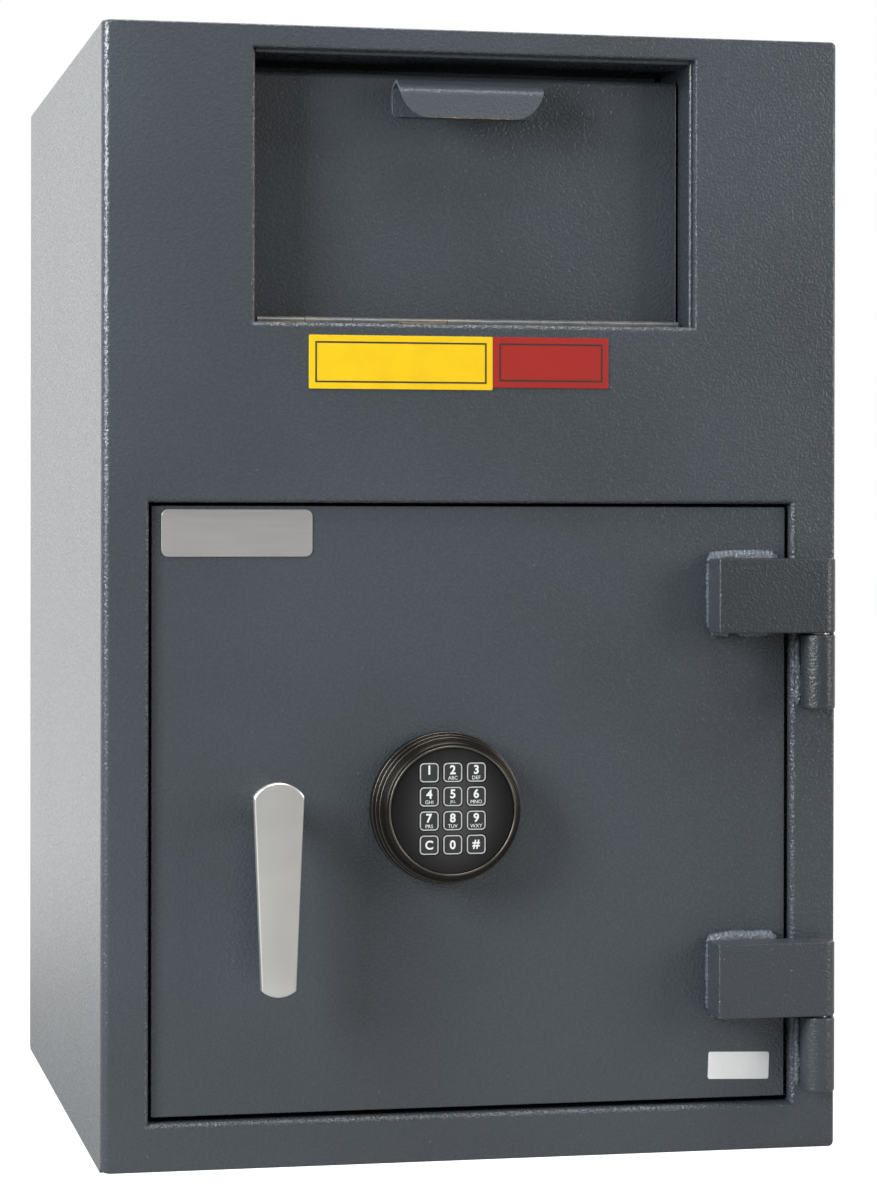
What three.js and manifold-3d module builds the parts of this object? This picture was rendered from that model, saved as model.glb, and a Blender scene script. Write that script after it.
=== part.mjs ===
// Drop safe with a tilt-out deposit hopper above and a swinging, keypad-locked door below.
// Millimetres. +Z is up, the front faces -Y and +X is to the right as seen from the front.
// The origin is the centre of the underside, on the floor.

import * as THREE from 'three';
import { mergeVertices } from 'three/addons/utils/BufferGeometryUtils.js';
import Module from 'manifold-3d';

const wasm = await Module();
wasm.setup();

// Body
const bodyWidth = 508;
const bodyDepth = 508;
const bodyHeight = 762;
const wall = 6.35;
const outerRound = 5.5;
const openingRound = 4.2;
const frontCornerRound = 4;
const anchorHoleRadius = 6.5;
const anchorInset = 64;
const joinGap = 0.3;

// Deposit opening and the tunnel behind it
const depositSideInset = 103.5;
const depositTopInset = 18;
const depositHeight = 179.5;
const tunnelDepth = 76.2;
const tunnelSheet = 3.2;
const sillDepth = 18.6;
const sillApron = 25;
const stopStripThickness = 6;
const stopStripDrop = 4;
const stopStripInset = 3;

// Hopper that tilts out of the deposit opening on a long hinge behind the sill
const hopperPanelDepth = 32;
const hopperSideGap = 2;
const hopperTopGap = 8;
const hopperSheet = 3;
const hopperFlange = 32;
const hopperBend = 5;
const hopperSideSheet = 2.5;
const hopperSideInset = 1.5;
const hopperSideMargin = 1.4;
const hopperFloorReach = 205;
const hopperFloorSlope = 35;
const hopperOpenAngle = 48;
const longHingeRadius = 3.5;
const longHingePinRadius = 1.6;
const longHingeLeaf = 2;
const longHingeLeafHeight = 24;
const longHingeRise = 1;
const longHingeKnuckles = 9;

// Throat behind the hopper, shut off by a toothed baffle
const shieldSheet = 3.2;
const shieldGap = 3.5;
const shieldDrop = 112.5;
const baffleDepth = 237;
const baffleLip = 24;
const baffleTeeth = 12;
const baffleToothDepth = 10;
const baffleClearance = 1.5;
const restBar = 12;
const restBarReach = 150;

// Pull on the hopper panel
const pullWidth = 101;
const pullOffset = -2;
const pullSheet = 2;
const pullInsetTop = 10;
const pullPlateHeight = 19.5;
const pullCrestRise = 3.5;
const pullCrestReach = 15;
const pullLipReach = 25;
const pullLipDrop = 3;
const pullLipRoundWidth = 21;
const pullLipRoundHeight = 25;
const pullPlateRound = 4;
const pullBend = 4.5;

// Door opening and door
const doorOpeningSideInset = 31.7;
const doorOpeningBottom = 31.8;
const beltHeight = 121;
const jambDepth = 31;
const doorRecess = 6;
const doorThickness = 12.7;
const doorGapHinge = 2.6;
const doorGapLatch = 2.1;
const doorGapTop = 2.1;
const doorGapBottom = 3.4;

// Hinges of the door
const hingeRadius = 12.7;
const hingePinRadius = 6.35;
const hingeStandoff = 0.5;
const hingeAxisInset = 15.5;
const hingeKnuckle = 50.8;
const hingeKnuckleGap = 1.2;
const hingeLeafLength = 75.7;
const lowerLeafRise = 58.8;
const upperLeafDrop = 85.9;
const hingeCupFloor = 3;
const weldPadInset = 3;
const weldPadEnd = 24.5;
const weldFillet = 6;
const weldFootShare = 0.75;

// Bolt work behind the door
const deadBarSheet = 6;
const deadBarClearance = 4;
const deadBarReach = 1;
const boltWorkRise = 24.8;
const boltWorkDrop = 25.4;
const boltRadius = 11.1;
const boltLength = 66;
const boltRetraction = 6.3;
const boltThrow = 24;
const boltClearance = 1.6;
const boltChamfer = 2;
const boltHeightShares = [0.13, 0.5, 0.87];
const boltGuideSheet = 6;
const boltGuideSetback = 8;
const boltGuideDepth = 44;
const boltBarThickness = 6;
const boltBarWidth = 47;
const boltBarOverhang = 24;
const boltArmHeight = 15;
const boltArmGap = 4;

// Lever handle, spindle and crank
const leverInset = 79.2;
const spindleRise = 4.7;
const leverTopRise = 16.6;
const leverLength = 140.7;
const leverTopWidth = 33.3;
const leverBottomWidth = 22.9;
const leverTopSagitta = 8.7;
const leverBottomSagitta = 5.7;
const leverThickness = 8;
const leverEdge = 1.1;
const leverStandoff = 35;
const hubRadius = 10;
const hubGap = 0.5;
const hubSocket = 16;
const spindleRadius = 7;
const crankGap = 4;
const crankThickness = 6;
const crankEyeRadius = 10;
const crankTipRadius = 7;
const crankPinRadius = 4;
const crankPinOverrun = 3;
const crankSlotSide = 0.8;
const crankSlotEnd = 1.5;
const leverTurn = 90;

// Keypad
const keypadInset = 199.2;
const keypadDrop = 0.3;
const keypadRadius = 51.5;
const keypadProjection = 27;
const keypadBaseHeight = 8;
const keypadSteps = 3;
const keypadStepWidth = 1.4;
const keypadStepHeight = 5.7;
const keypadStepEase = 0.8;
const keypadSlopeWidth = 3.6;
const keypadRim = 1.6;
const keypadLedge = 2.4;
const keypadFaceRecess = 1.2;
const keypadFaceThickness = 4;
const boardHeight = 15;
const boardThickness = 1.6;
const keyPitchShare = 0.385;
const keySpacing = 2.7;
const keyRound = 3;
const keyRowsRise = 1.6;
const keyProud = 0.5;
const keyTravel = 0.8;
const keyGap = 0.3;
const keyRows = [['1', '2', '3'], ['4', '5', '6'], ['7', '8', '9'], ['c', '0', 'hash']];

// Lock behind the keypad
const lockWidth = 60;
const lockHeight = 82;
const lockThickness = 31;
const lockCover = 5;
const lockFloor = 7;
const lockPivotInset = 10;
const lockPivotRise = 26;
const swingBoltRadius = 18.5;
const swingBoltHub = 7;
const swingPinRadius = 3;
const swingGap = 0.4;

// Plates on the front
const namePlateWidth = 101.8;
const namePlateHeight = 31.5;
const namePlateRound = 4.6;
const namePlateInsetX = 6.6;
const namePlateInsetTop = 2.4;
const plateThickness = 0.8;
const yellowPlateWidth = 126;
const yellowPlateHeight = 36;
const yellowPlateInset = 35.1;
const redPlateWidth = 80.6;
const redPlateHeight = 34.2;
const platesBelowSill = 4.6;
const platesGap = 0.3;

// Fineness of the round forms and an overrun for cutters
const roundSteps = 32;
const fineSteps = 52;
const bendSteps = 4;
const overrun = 2;

// Worked out from the sizes above
const halfWidth = bodyWidth / 2;
const frontY = -bodyDepth / 2;
const backY = bodyDepth / 2;
const depthY = (depth) => frontY + depth;
const innerTop = bodyHeight - wall;
const depositTop = bodyHeight - depositTopInset;
const depositSillHeight = depositTop - depositHeight;
const halfDeposit = halfWidth - depositSideInset;
const halfOpening = halfWidth - doorOpeningSideInset;
const doorOpeningTop = depositSillHeight - beltHeight;
const doorLeft = -halfOpening + doorGapLatch;
const doorRight = halfOpening - doorGapHinge;
const doorBottom = doorOpeningBottom + doorGapBottom;
const doorTop = doorOpeningTop - doorGapTop;
const doorRear = doorRecess + doorThickness;
const doorMiddle = (doorBottom + doorTop) / 2;
const boltWorkBottom = doorBottom + boltWorkRise;
const boltWorkTop = doorTop - boltWorkDrop;
const leverX = doorLeft + leverInset;
const spindleHeight = doorMiddle + spindleRise;
const keypadX = doorLeft + keypadInset;
const keypadHeight = doorMiddle - keypadDrop;
const keypadFaceBore = keypadRadius - keypadSteps * keypadStepWidth - keypadSlopeWidth - keypadRim;
const keypadFaceRadius = keypadFaceBore - joinGap;
const boardBore = keypadFaceBore - keypadLedge;
const keyPitch = keyPitchShare * keypadFaceRadius;
const keySize = keyPitch - keySpacing;
const degrees = Math.PI / 180;
const halfTurn = (leverTurn / 2) * degrees;
const crankRadius = boltThrow / (2 * Math.sin(halfTurn));
const keyLength = keypadFaceThickness + keyProud + keyTravel + joinGap;

// Finishes, shared by the pieces that have them
const paint = new THREE.MeshStandardMaterial({ color: 0x54595f, roughness: 0.42, metalness: 0.1 });
const darkSteel = new THREE.MeshStandardMaterial({ color: 0x3c3e40, roughness: 0.5, metalness: 0.6 });
const bareSteel = new THREE.MeshStandardMaterial({ color: 0xa9abad, roughness: 0.35, metalness: 0.9 });
const satinMetal = new THREE.MeshStandardMaterial({ color: 0xbcb9b2, roughness: 0.35, metalness: 0.8 });
const blackPlastic = new THREE.MeshStandardMaterial({ color: 0x1b1918, roughness: 0.35, metalness: 0.1 });
const keyPlastic = new THREE.MeshStandardMaterial({ color: 0x2a2a2b, roughness: 0.5, metalness: 0 });
const boardGreen = new THREE.MeshStandardMaterial({ color: 0x1e5a35, roughness: 0.5, metalness: 0 });
const silverPlate = new THREE.MeshStandardMaterial({ color: 0xa9a49e, roughness: 0.4, metalness: 0.6 });
const yellowPlate = new THREE.MeshStandardMaterial({ color: 0xf6d51f, roughness: 0.4, metalness: 0 });
const redPlate = new THREE.MeshStandardMaterial({ color: 0x9d2b26, roughness: 0.4, metalness: 0 });

// Booleans between closed geometries
function toSolid(geometry) {
  const bare = geometry.clone();
  bare.deleteAttribute('normal');
  bare.deleteAttribute('uv');
  const merged = mergeVertices(bare, 1e-4);
  return new wasm.Manifold(new wasm.Mesh({
    numProp: 3,
    vertProperties: new Float32Array(merged.attributes.position.array),
    triVerts: new Uint32Array(merged.index.array),
  }));
}

function toGeometry(solid) {
  const mesh = solid.getMesh();
  const geometry = new THREE.BufferGeometry();
  geometry.setAttribute('position', new THREE.BufferAttribute(new Float32Array(mesh.vertProperties), 3));
  geometry.setIndex(new THREE.BufferAttribute(new Uint32Array(mesh.triVerts), 1));
  const flat = geometry.toNonIndexed();
  flat.computeVertexNormals();
  return flat;
}

function join(first, ...others) {
  return toGeometry(others.reduce((solid, next) => solid.add(toSolid(next)), toSolid(first)));
}

function cut(first, ...tools) {
  return toGeometry(tools.reduce((solid, tool) => solid.subtract(toSolid(tool)), toSolid(first)));
}

function common(first, second) {
  return toGeometry(toSolid(first).intersect(toSolid(second)));
}

// Basic forms, each between two limits along every axis
function block(x0, x1, y0, y1, z0, z1) {
  const box = new THREE.BoxGeometry(x1 - x0, y1 - y0, z1 - z0);
  return box.translate((x0 + x1) / 2, (y0 + y1) / 2, (z0 + z1) / 2);
}

function extrude(shape, length, curveSegments = bendSteps) {
  return new THREE.ExtrudeGeometry(shape, { depth: length, bevelEnabled: false, curveSegments });
}

// A shape drawn in (y, z), run along X
function alongX(shape, x0, x1, curveSegments) {
  const turn = new THREE.Matrix4().set(0, 0, 1, 0, 1, 0, 0, 0, 0, 1, 0, 0, 0, 0, 0, 1);
  return extrude(shape, x1 - x0, curveSegments).applyMatrix4(turn).translate(x0, 0, 0);
}

// A shape drawn in (x, z), run along Y
function alongY(shape, y0, y1, curveSegments) {
  return extrude(shape, y1 - y0, curveSegments).rotateX(Math.PI / 2).translate(0, y1, 0);
}

// A shape drawn in (x, y), run along Z
function alongZ(shape, z0, z1, curveSegments) {
  return extrude(shape, z1 - z0, curveSegments).translate(0, 0, z0);
}

function outline(points) {
  return new THREE.Shape(points.map(([u, v]) => new THREE.Vector2(u, v)));
}

function disc(u, v, radius) {
  const shape = new THREE.Shape();
  shape.absarc(u, v, radius, 0, 2 * Math.PI, false);
  return shape;
}

function rectangle(u0, u1, v0, v1) {
  return outline([[u0, v0], [u1, v0], [u1, v1], [u0, v1]]);
}

function roundedRectangle(u0, u1, v0, v1, radius) {
  const shape = new THREE.Shape();
  shape.absarc(u1 - radius, v0 + radius, radius, -Math.PI / 2, 0, false);
  shape.absarc(u1 - radius, v1 - radius, radius, 0, Math.PI / 2, false);
  shape.absarc(u0 + radius, v1 - radius, radius, Math.PI / 2, Math.PI, false);
  shape.absarc(u0 + radius, v0 + radius, radius, Math.PI, 1.5 * Math.PI, false);
  shape.closePath();
  return shape;
}

// The section of a sheet bent along a path, with the same radius at every bend
function bentSheet(path, thickness, bendRadius) {
  const points = path.map(([u, v]) => new THREE.Vector2(u, v));
  const line = [{ at: points[0], heading: points[1].clone().sub(points[0]).normalize() }];
  for (let i = 1; i < points.length - 1; i += 1) {
    const before = points[i].clone().sub(points[i - 1]).normalize();
    const after = points[i + 1].clone().sub(points[i]).normalize();
    const turn = Math.atan2(before.cross(after), before.dot(after));
    const setback = bendRadius * Math.tan(Math.abs(turn) / 2);
    const start = points[i].clone().addScaledVector(before, -setback);
    const side = Math.sign(turn);
    const centre = start.clone().add(new THREE.Vector2(-before.y, before.x).multiplyScalar(side * bendRadius));
    for (let step = 0; step <= bendSteps; step += 1) {
      const angle = (turn * step) / bendSteps;
      const heading = before.clone().rotateAround(new THREE.Vector2(), angle);
      const normal = new THREE.Vector2(-heading.y, heading.x);
      line.push({ at: centre.clone().addScaledVector(normal, -side * bendRadius), heading });
    }
  }
  const last = points.length - 1;
  line.push({ at: points[last], heading: points[last].clone().sub(points[last - 1]).normalize() });
  const edge = (offset) => line.map(({ at, heading }) =>
    new THREE.Vector2(at.x - heading.y * offset, at.y + heading.x * offset));
  return new THREE.Shape([...edge(-thickness / 2), ...edge(thickness / 2).reverse()]);
}

const safe = new THREE.Group();

function add(parent, name, geometry, material, place = [0, 0, 0]) {
  const mesh = new THREE.Mesh(geometry, material);
  mesh.name = name;
  mesh.position.set(...place);
  parent.add(mesh);
  return mesh;
}

// Shell: five welded plates behind the front plate
const shell = new THREE.Group();
safe.add(shell);
const sidePlate = new THREE.BoxGeometry(wall, bodyDepth - 2 * wall, bodyHeight - 2 * wall);
for (const [name, side] of [['left_side_plate', -1], ['right_side_plate', 1]]) {
  add(shell, name, sidePlate, paint, [side * (halfWidth - wall / 2), 0, bodyHeight / 2]);
}
add(shell, 'top_plate', block(-halfWidth, halfWidth, frontY + wall, backY - wall,
  innerTop, bodyHeight), paint);
add(shell, 'back_plate', block(-halfWidth, halfWidth, backY - wall, backY, 0, bodyHeight), paint);
const floorOutline = rectangle(-halfWidth, halfWidth, frontY + wall, backY - wall);
for (const x of [-halfWidth + anchorInset, halfWidth - anchorInset]) {
  for (const y of [frontY + anchorInset, backY - anchorInset]) {
    floorOutline.holes.push(disc(x, y, anchorHoleRadius));
  }
}
add(shell, 'bottom_plate', alongZ(floorOutline, 0, wall, bendSteps), paint);

// Front plate: rounded over at its outer edges and turned in around both openings
function makeFrontPlate() {
  const grown = openingRound;
  const openings = rectangle(-halfWidth - overrun, halfWidth + overrun, -overrun, bodyHeight + overrun);
  openings.holes.push(rectangle(-halfDeposit - grown, halfDeposit + grown,
    depositSillHeight - grown, depositTop + grown));
  openings.holes.push(rectangle(-halfOpening - grown, halfOpening + grown,
    doorOpeningBottom - grown, doorOpeningTop + grown));
  const pierced = new THREE.ExtrudeGeometry(openings, {
    depth: wall, bevelEnabled: true, bevelSize: openingRound, bevelThickness: openingRound,
    bevelSegments: bendSteps,
  });
  pierced.rotateX(Math.PI / 2).translate(0, frontY + wall + openingRound, 0);
  const face = rectangle(-halfWidth + outerRound, halfWidth - outerRound, outerRound, bodyHeight - outerRound);
  const rounded = new THREE.ExtrudeGeometry(face, {
    depth: wall, bevelEnabled: true, bevelSize: outerRound, bevelThickness: outerRound,
    bevelSegments: bendSteps,
  });
  rounded.rotateX(Math.PI / 2).translate(0, frontY + wall + outerRound, 0);
  const blank = alongY(roundedRectangle(-halfWidth, halfWidth, 0, bodyHeight, frontCornerRound),
    frontY - overrun, frontY + wall);
  return common(common(pierced, rounded), blank);
}
add(shell, 'front_plate', makeFrontPlate(), paint);

// Deposit tunnel: soffit, two jambs, a sill with a turned-down apron, and a stop strip above the hopper
const tunnel = new THREE.Group();
safe.add(tunnel);
add(tunnel, 'deposit_soffit', block(-halfDeposit, halfDeposit, frontY + wall, depthY(tunnelDepth),
  depositTop, depositTop + tunnelSheet), paint);
const jambForm = block(-tunnelSheet / 2, tunnelSheet / 2, frontY + wall, depthY(tunnelDepth),
  depositSillHeight - tunnelSheet, depositTop + tunnelSheet);
for (const [name, side] of [['deposit_jamb_left', -1], ['deposit_jamb_right', 1]]) {
  add(tunnel, name, jambForm, paint, [side * (halfDeposit + tunnelSheet / 2), 0, 0]);
}
const sillSection = outline([
  [frontY + wall, depositSillHeight - tunnelSheet],
  [depthY(sillDepth - tunnelSheet), depositSillHeight - tunnelSheet],
  [depthY(sillDepth - tunnelSheet), depositSillHeight - sillApron],
  [depthY(sillDepth), depositSillHeight - sillApron],
  [depthY(sillDepth), depositSillHeight],
  [frontY + wall, depositSillHeight],
]);
add(tunnel, 'deposit_sill', alongX(sillSection, -halfDeposit, halfDeposit), paint);
add(tunnel, 'hopper_stop_strip', block(-halfDeposit + stopStripInset, halfDeposit - stopStripInset,
  depthY(tunnelDepth + stopStripInset), depthY(tunnelDepth + stopStripInset + stopStripThickness),
  depositTop - stopStripDrop, innerTop), paint);

// Hopper hinge line, just behind the sill and a little above it
const pivotY = depthY(sillDepth + joinGap + longHingeRadius);
const pivotZ = depositSillHeight + longHingeRise;
const slope = hopperFloorSlope * degrees;
const floorAlong = new THREE.Vector2(Math.cos(slope), -Math.sin(slope));
const floorNormal = new THREE.Vector2(Math.sin(slope), Math.cos(slope));
// A place on the hopper by its distance down the floor and its height above the hinge line
function onFloor(along, above) {
  return [
    pivotY + floorAlong.x * along + floorNormal.x * above,
    pivotZ + floorAlong.y * along + floorNormal.y * above,
  ];
}
const floorUnder = longHingeRadius;
const floorOver = floorUnder + hopperSheet;
const panelFrontY = depthY(hopperPanelDepth);
const panelRearY = panelFrontY + hopperSheet;
const panelTop = depositTop - hopperTopGap;
const halfHopper = halfDeposit - hopperSideGap;
// Height of a line parallel to the floor, at a given y
function floorLineAt(y, above) {
  return pivotZ + (above - floorNormal.x * (y - pivotY)) / floorNormal.y;
}

const hopper = new THREE.Group();
safe.add(hopper);
const panelSection = bentSheet([
  [panelFrontY + hopperSheet / 2, floorLineAt(panelFrontY, floorUnder) + joinGap],
  [panelFrontY + hopperSheet / 2, panelTop - hopperSheet / 2],
  [panelFrontY + hopperFlange, panelTop - hopperSheet / 2],
], hopperSheet, hopperBend - hopperSheet / 2);
add(hopper, 'hopper_panel', alongX(panelSection, -halfHopper, halfHopper), paint);

const floorSection = outline([
  [panelRearY, floorLineAt(panelRearY, floorUnder)],
  onFloor(hopperFloorReach, floorUnder),
  onFloor(hopperFloorReach, floorOver),
  [panelRearY, floorLineAt(panelRearY, floorOver)],
]);
const halfSides = halfHopper - hopperSideInset;
add(hopper, 'hopper_floor', alongX(floorSection, -halfSides, halfSides), paint);

function hopperSideOutline() {
  const under = panelTop - hopperSheet;
  const flangeRear = panelFrontY + hopperFlange;
  const topAngle = Math.atan2(under - pivotZ, flangeRear - pivotY);
  const reach = Math.hypot(under - pivotZ, flangeRear - pivotY) + hopperSideMargin;
  const along = Math.sqrt(reach ** 2 - floorOver ** 2);
  const [endY, endZ] = onFloor(along, floorOver);
  const endAngle = Math.atan2(endZ - pivotZ, endY - pivotY);
  const shape = new THREE.Shape();
  const inner = panelRearY + hopperBend - hopperSheet;
  shape.moveTo(panelRearY, floorLineAt(panelRearY, floorOver));
  shape.lineTo(...onFloor(along, floorOver));
  shape.absarc(pivotY, pivotZ, reach, endAngle, topAngle, false);
  shape.lineTo(flangeRear, under);
  shape.lineTo(inner, under);
  shape.lineTo(panelRearY, panelTop - hopperBend);
  return shape;
}
const sideForm = alongX(hopperSideOutline(), -hopperSideSheet / 2, hopperSideSheet / 2, 3 * bendSteps);
for (const [name, side] of [['hopper_side_left', -1], ['hopper_side_right', 1]]) {
  add(hopper, name, sideForm, paint, [side * (halfSides - hopperSideSheet / 2), 0, 0]);
}

// Long hinge: one leaf on the sill's apron, one under the hopper's floor, and the pin through both
const knuckleLength = (2 * halfSides) / longHingeKnuckles;
const knuckleBore = longHingePinRadius + joinGap;
function barrel(x0, x1, radius) {
  return alongX(disc(pivotY, pivotZ, radius), x0, x1, 2 * bendSteps);
}
function makeLongLeaf(plateForm, neckForm, firstKnuckle) {
  const parts = [];
  for (let i = firstKnuckle; i < longHingeKnuckles; i += 2) {
    const x0 = -halfSides + i * knuckleLength + joinGap / 2;
    const x1 = x0 + knuckleLength - joinGap;
    parts.push(barrel(x0, x1, longHingeRadius), alongX(neckForm, x0, x1));
  }
  return cut(join(plateForm, ...parts), barrel(-halfSides - overrun, halfSides + overrun, knuckleBore));
}
const apronY = depthY(sillDepth);
const leafClear = pivotZ - longHingeRadius - joinGap;
const sillLeafPlate = block(-halfSides, halfSides, apronY, apronY + longHingeLeaf,
  leafClear - longHingeLeafHeight, leafClear);
const sillLeafNeck = rectangle(apronY, apronY + longHingeLeaf, leafClear - longHingeLeaf, pivotZ);
add(shell, 'hopper_hinge_sill_leaf', makeLongLeaf(sillLeafPlate, sillLeafNeck, 0), darkSteel);
const leafOver = floorUnder - joinGap / 3;
const hopperLeafStart = longHingeRadius + longHingeLeaf;
const hopperLeafPlate = alongX(outline([
  onFloor(hopperLeafStart, leafOver - longHingeLeaf),
  onFloor(hopperLeafStart + longHingeLeafHeight, leafOver - longHingeLeaf),
  onFloor(hopperLeafStart + longHingeLeafHeight, leafOver),
  onFloor(hopperLeafStart, leafOver),
]), -halfSides, halfSides);
const hopperLeafNeck = outline([
  onFloor(0, leafOver - longHingeLeaf),
  onFloor(hopperLeafStart + longHingeLeaf, leafOver - longHingeLeaf),
  onFloor(hopperLeafStart + longHingeLeaf, leafOver),
  onFloor(0, leafOver),
]);
add(hopper, 'hopper_hinge_panel_leaf', makeLongLeaf(hopperLeafPlate, hopperLeafNeck, 1), darkSteel);
add(shell, 'hopper_hinge_pin', barrel(-halfSides, halfSides, longHingePinRadius), bareSteel);

// Pull: a plate on the panel, folded forward over a crest into a lip with two large round corners
function makePull() {
  const plateTop = panelTop - pullInsetTop;
  const plateBottom = plateTop - pullPlateHeight;
  const lipBottom = plateBottom - pullLipDrop;
  const middle = panelFrontY - pullSheet / 2;
  const lipY = panelFrontY - pullLipReach;
  const fold = bentSheet([
    [middle, plateBottom + pullPlateRound],
    [middle, plateTop],
    [panelFrontY - pullCrestReach, plateTop + pullCrestRise],
    [lipY, plateTop - pullCrestRise / 2],
    [lipY, lipBottom],
  ], pullSheet, pullBend);
  const x0 = pullOffset - pullWidth / 2;
  const x1 = pullOffset + pullWidth / 2;
  const lipOutline = new THREE.Shape();
  lipOutline.absellipse(x1 - pullLipRoundWidth, lipBottom + pullLipRoundHeight, pullLipRoundWidth,
    pullLipRoundHeight, -Math.PI / 2, 0, false, 0);
  lipOutline.lineTo(x1, plateTop + pullCrestRise + overrun);
  lipOutline.lineTo(x0, plateTop + pullCrestRise + overrun);
  lipOutline.absellipse(x0 + pullLipRoundWidth, lipBottom + pullLipRoundHeight, pullLipRoundWidth,
    pullLipRoundHeight, Math.PI, 1.5 * Math.PI, false, 0);
  const lip = common(alongX(fold, x0, x1), alongY(lipOutline, lipY - pullBend, panelFrontY, 2 * bendSteps));
  const backOutline = roundedRectangle(x0, x1, plateBottom, plateTop, pullPlateRound);
  return join(lip, alongY(backOutline, panelFrontY - pullSheet, panelFrontY, bendSteps));
}
add(hopper, 'hopper_pull', makePull(), paint);

// Throat: a shield on each side, a toothed baffle across the back, and the bar that the hopper closes on
const halfShield = halfDeposit + shieldGap;
const shieldFrontY = depthY(tunnelDepth + shieldGap);
const baffleY = depthY(baffleDepth);
const shieldBottom = depositSillHeight - shieldDrop;
const shieldForm = block(-shieldSheet / 2, shieldSheet / 2, shieldFrontY, baffleY, shieldBottom, innerTop);
for (const [name, side] of [['throat_shield_left', -1], ['throat_shield_right', 1]]) {
  add(tunnel, name, shieldForm, paint, [side * (halfShield + shieldSheet / 2), 0, 0]);
}
function makeBaffle() {
  const open = (hopperOpenAngle - hopperFloorSlope) * degrees;
  const tipTop = pivotZ + hopperFloorReach * Math.sin(open) + floorOver * Math.cos(open);
  const lipUnder = tipTop + baffleClearance;
  const half = halfShield + shieldSheet;
  const curtain = block(-half, half, baffleY, baffleY + shieldSheet, lipUnder, innerTop);
  const lipFrontY = baffleY - baffleLip;
  const lipEnd = halfShield - joinGap;
  const lipRearY = baffleY + shieldSheet / 2;
  const toothWidth = (2 * lipEnd) / baffleTeeth;
  const teeth = [[lipEnd, lipRearY], [-lipEnd, lipRearY]];
  for (let i = 0; i < baffleTeeth; i += 1) {
    const x = -lipEnd + i * toothWidth;
    teeth.push([x, lipFrontY + baffleToothDepth], [x + toothWidth / 2, lipFrontY]);
  }
  teeth.push([lipEnd, lipFrontY + baffleToothDepth]);
  return join(curtain, alongZ(outline(teeth), lipUnder, lipUnder + shieldSheet));
}
add(tunnel, 'toothed_baffle', makeBaffle(), paint);
const barSection = outline([
  onFloor(restBarReach - restBar / 2, floorUnder - joinGap - restBar),
  onFloor(restBarReach + restBar / 2, floorUnder - joinGap - restBar),
  onFloor(restBarReach + restBar / 2, floorUnder - joinGap),
  onFloor(restBarReach - restBar / 2, floorUnder - joinGap),
]);
add(tunnel, 'hopper_rest_bar', alongX(barSection, -halfShield, halfShield), darkSteel);

// Door frame: a square tube of plate behind the door opening
const frameOutline = rectangle(-halfOpening - wall, halfOpening + wall,
  doorOpeningBottom - wall, doorOpeningTop + wall);
frameOutline.holes.push(rectangle(-halfOpening, halfOpening, doorOpeningBottom, doorOpeningTop));
add(shell, 'door_frame', alongY(frameOutline, frontY + wall, depthY(jambDepth)), paint);

// Door plate, pierced for the lever's spindle and the keypad's cable
const door = new THREE.Group();
safe.add(door);
const cableHoleRadius = spindleRadius;
const doorOutline = rectangle(doorLeft, doorRight, doorBottom, doorTop);
doorOutline.holes.push(disc(leverX, spindleHeight, spindleRadius + joinGap));
doorOutline.holes.push(disc(keypadX, keypadHeight, cableHoleRadius));
add(door, 'door_plate', alongY(doorOutline, depthY(doorRecess), depthY(doorRear), 2 * bendSteps), paint);

// Door hinges: a bar leaf that turns on a pin standing in a knuckle welded to the front plate
const hingeX = halfWidth - hingeAxisInset;
const hingeY = frontY - hingeStandoff - hingeRadius;
function makeLeaf() {
  const bar = new THREE.Shape();
  bar.moveTo(-hingeLeafLength, hingeRadius);
  bar.lineTo(-hingeLeafLength, -hingeRadius);
  bar.absarc(0, 0, hingeRadius, -Math.PI / 2, Math.PI / 2, false);
  bar.holes.push(disc(0, 0, hingePinRadius + joinGap));
  const pad = block(-hingeLeafLength + weldPadInset, -weldPadEnd, 0,
    depthY(doorRecess) - hingeY, weldPadInset, hingeKnuckle - weldPadInset);
  return join(alongZ(bar, 0, hingeKnuckle, 3 * bendSteps), pad);
}
function makeKnuckle() {
  const faceY = frontY - hingeY;
  const left = halfOpening + openingRound - hingeX;
  const right = halfWidth - outerRound - hingeX;
  const foot = outline([
    [left, faceY], [left / 2, faceY - weldFillet], [0, 0],
    [right * weldFootShare, faceY - weldFillet], [right, faceY],
  ]);
  const solid = join(alongZ(disc(0, 0, hingeRadius), 0, hingeKnuckle, 3 * bendSteps),
    alongZ(foot, 0, hingeKnuckle));
  return cut(solid, alongZ(disc(0, 0, hingePinRadius + joinGap), hingeCupFloor, hingeKnuckle + overrun,
    3 * bendSteps));
}
const leafForm = makeLeaf();
const knuckleForm = makeKnuckle();
const pinLength = 2 * hingeKnuckle + hingeKnuckleGap - hingeCupFloor;
const pinForm = alongZ(disc(0, 0, hingePinRadius), 0, pinLength, 3 * bendSteps);
const leafBottoms = [['lower', doorBottom + lowerLeafRise], ['upper', doorTop - upperLeafDrop]];
for (const [place, leafBottom] of leafBottoms) {
  const knuckleBottom = leafBottom - hingeKnuckleGap - hingeKnuckle;
  add(door, `hinge_leaf_${place}`, leafForm, paint, [hingeX, hingeY, leafBottom]);
  add(shell, `hinge_knuckle_${place}`, knuckleForm, paint, [hingeX, hingeY, knuckleBottom]);
  add(shell, `hinge_pin_${place}`, pinForm, bareSteel, [hingeX, hingeY, knuckleBottom + hingeCupFloor]);
}

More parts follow.
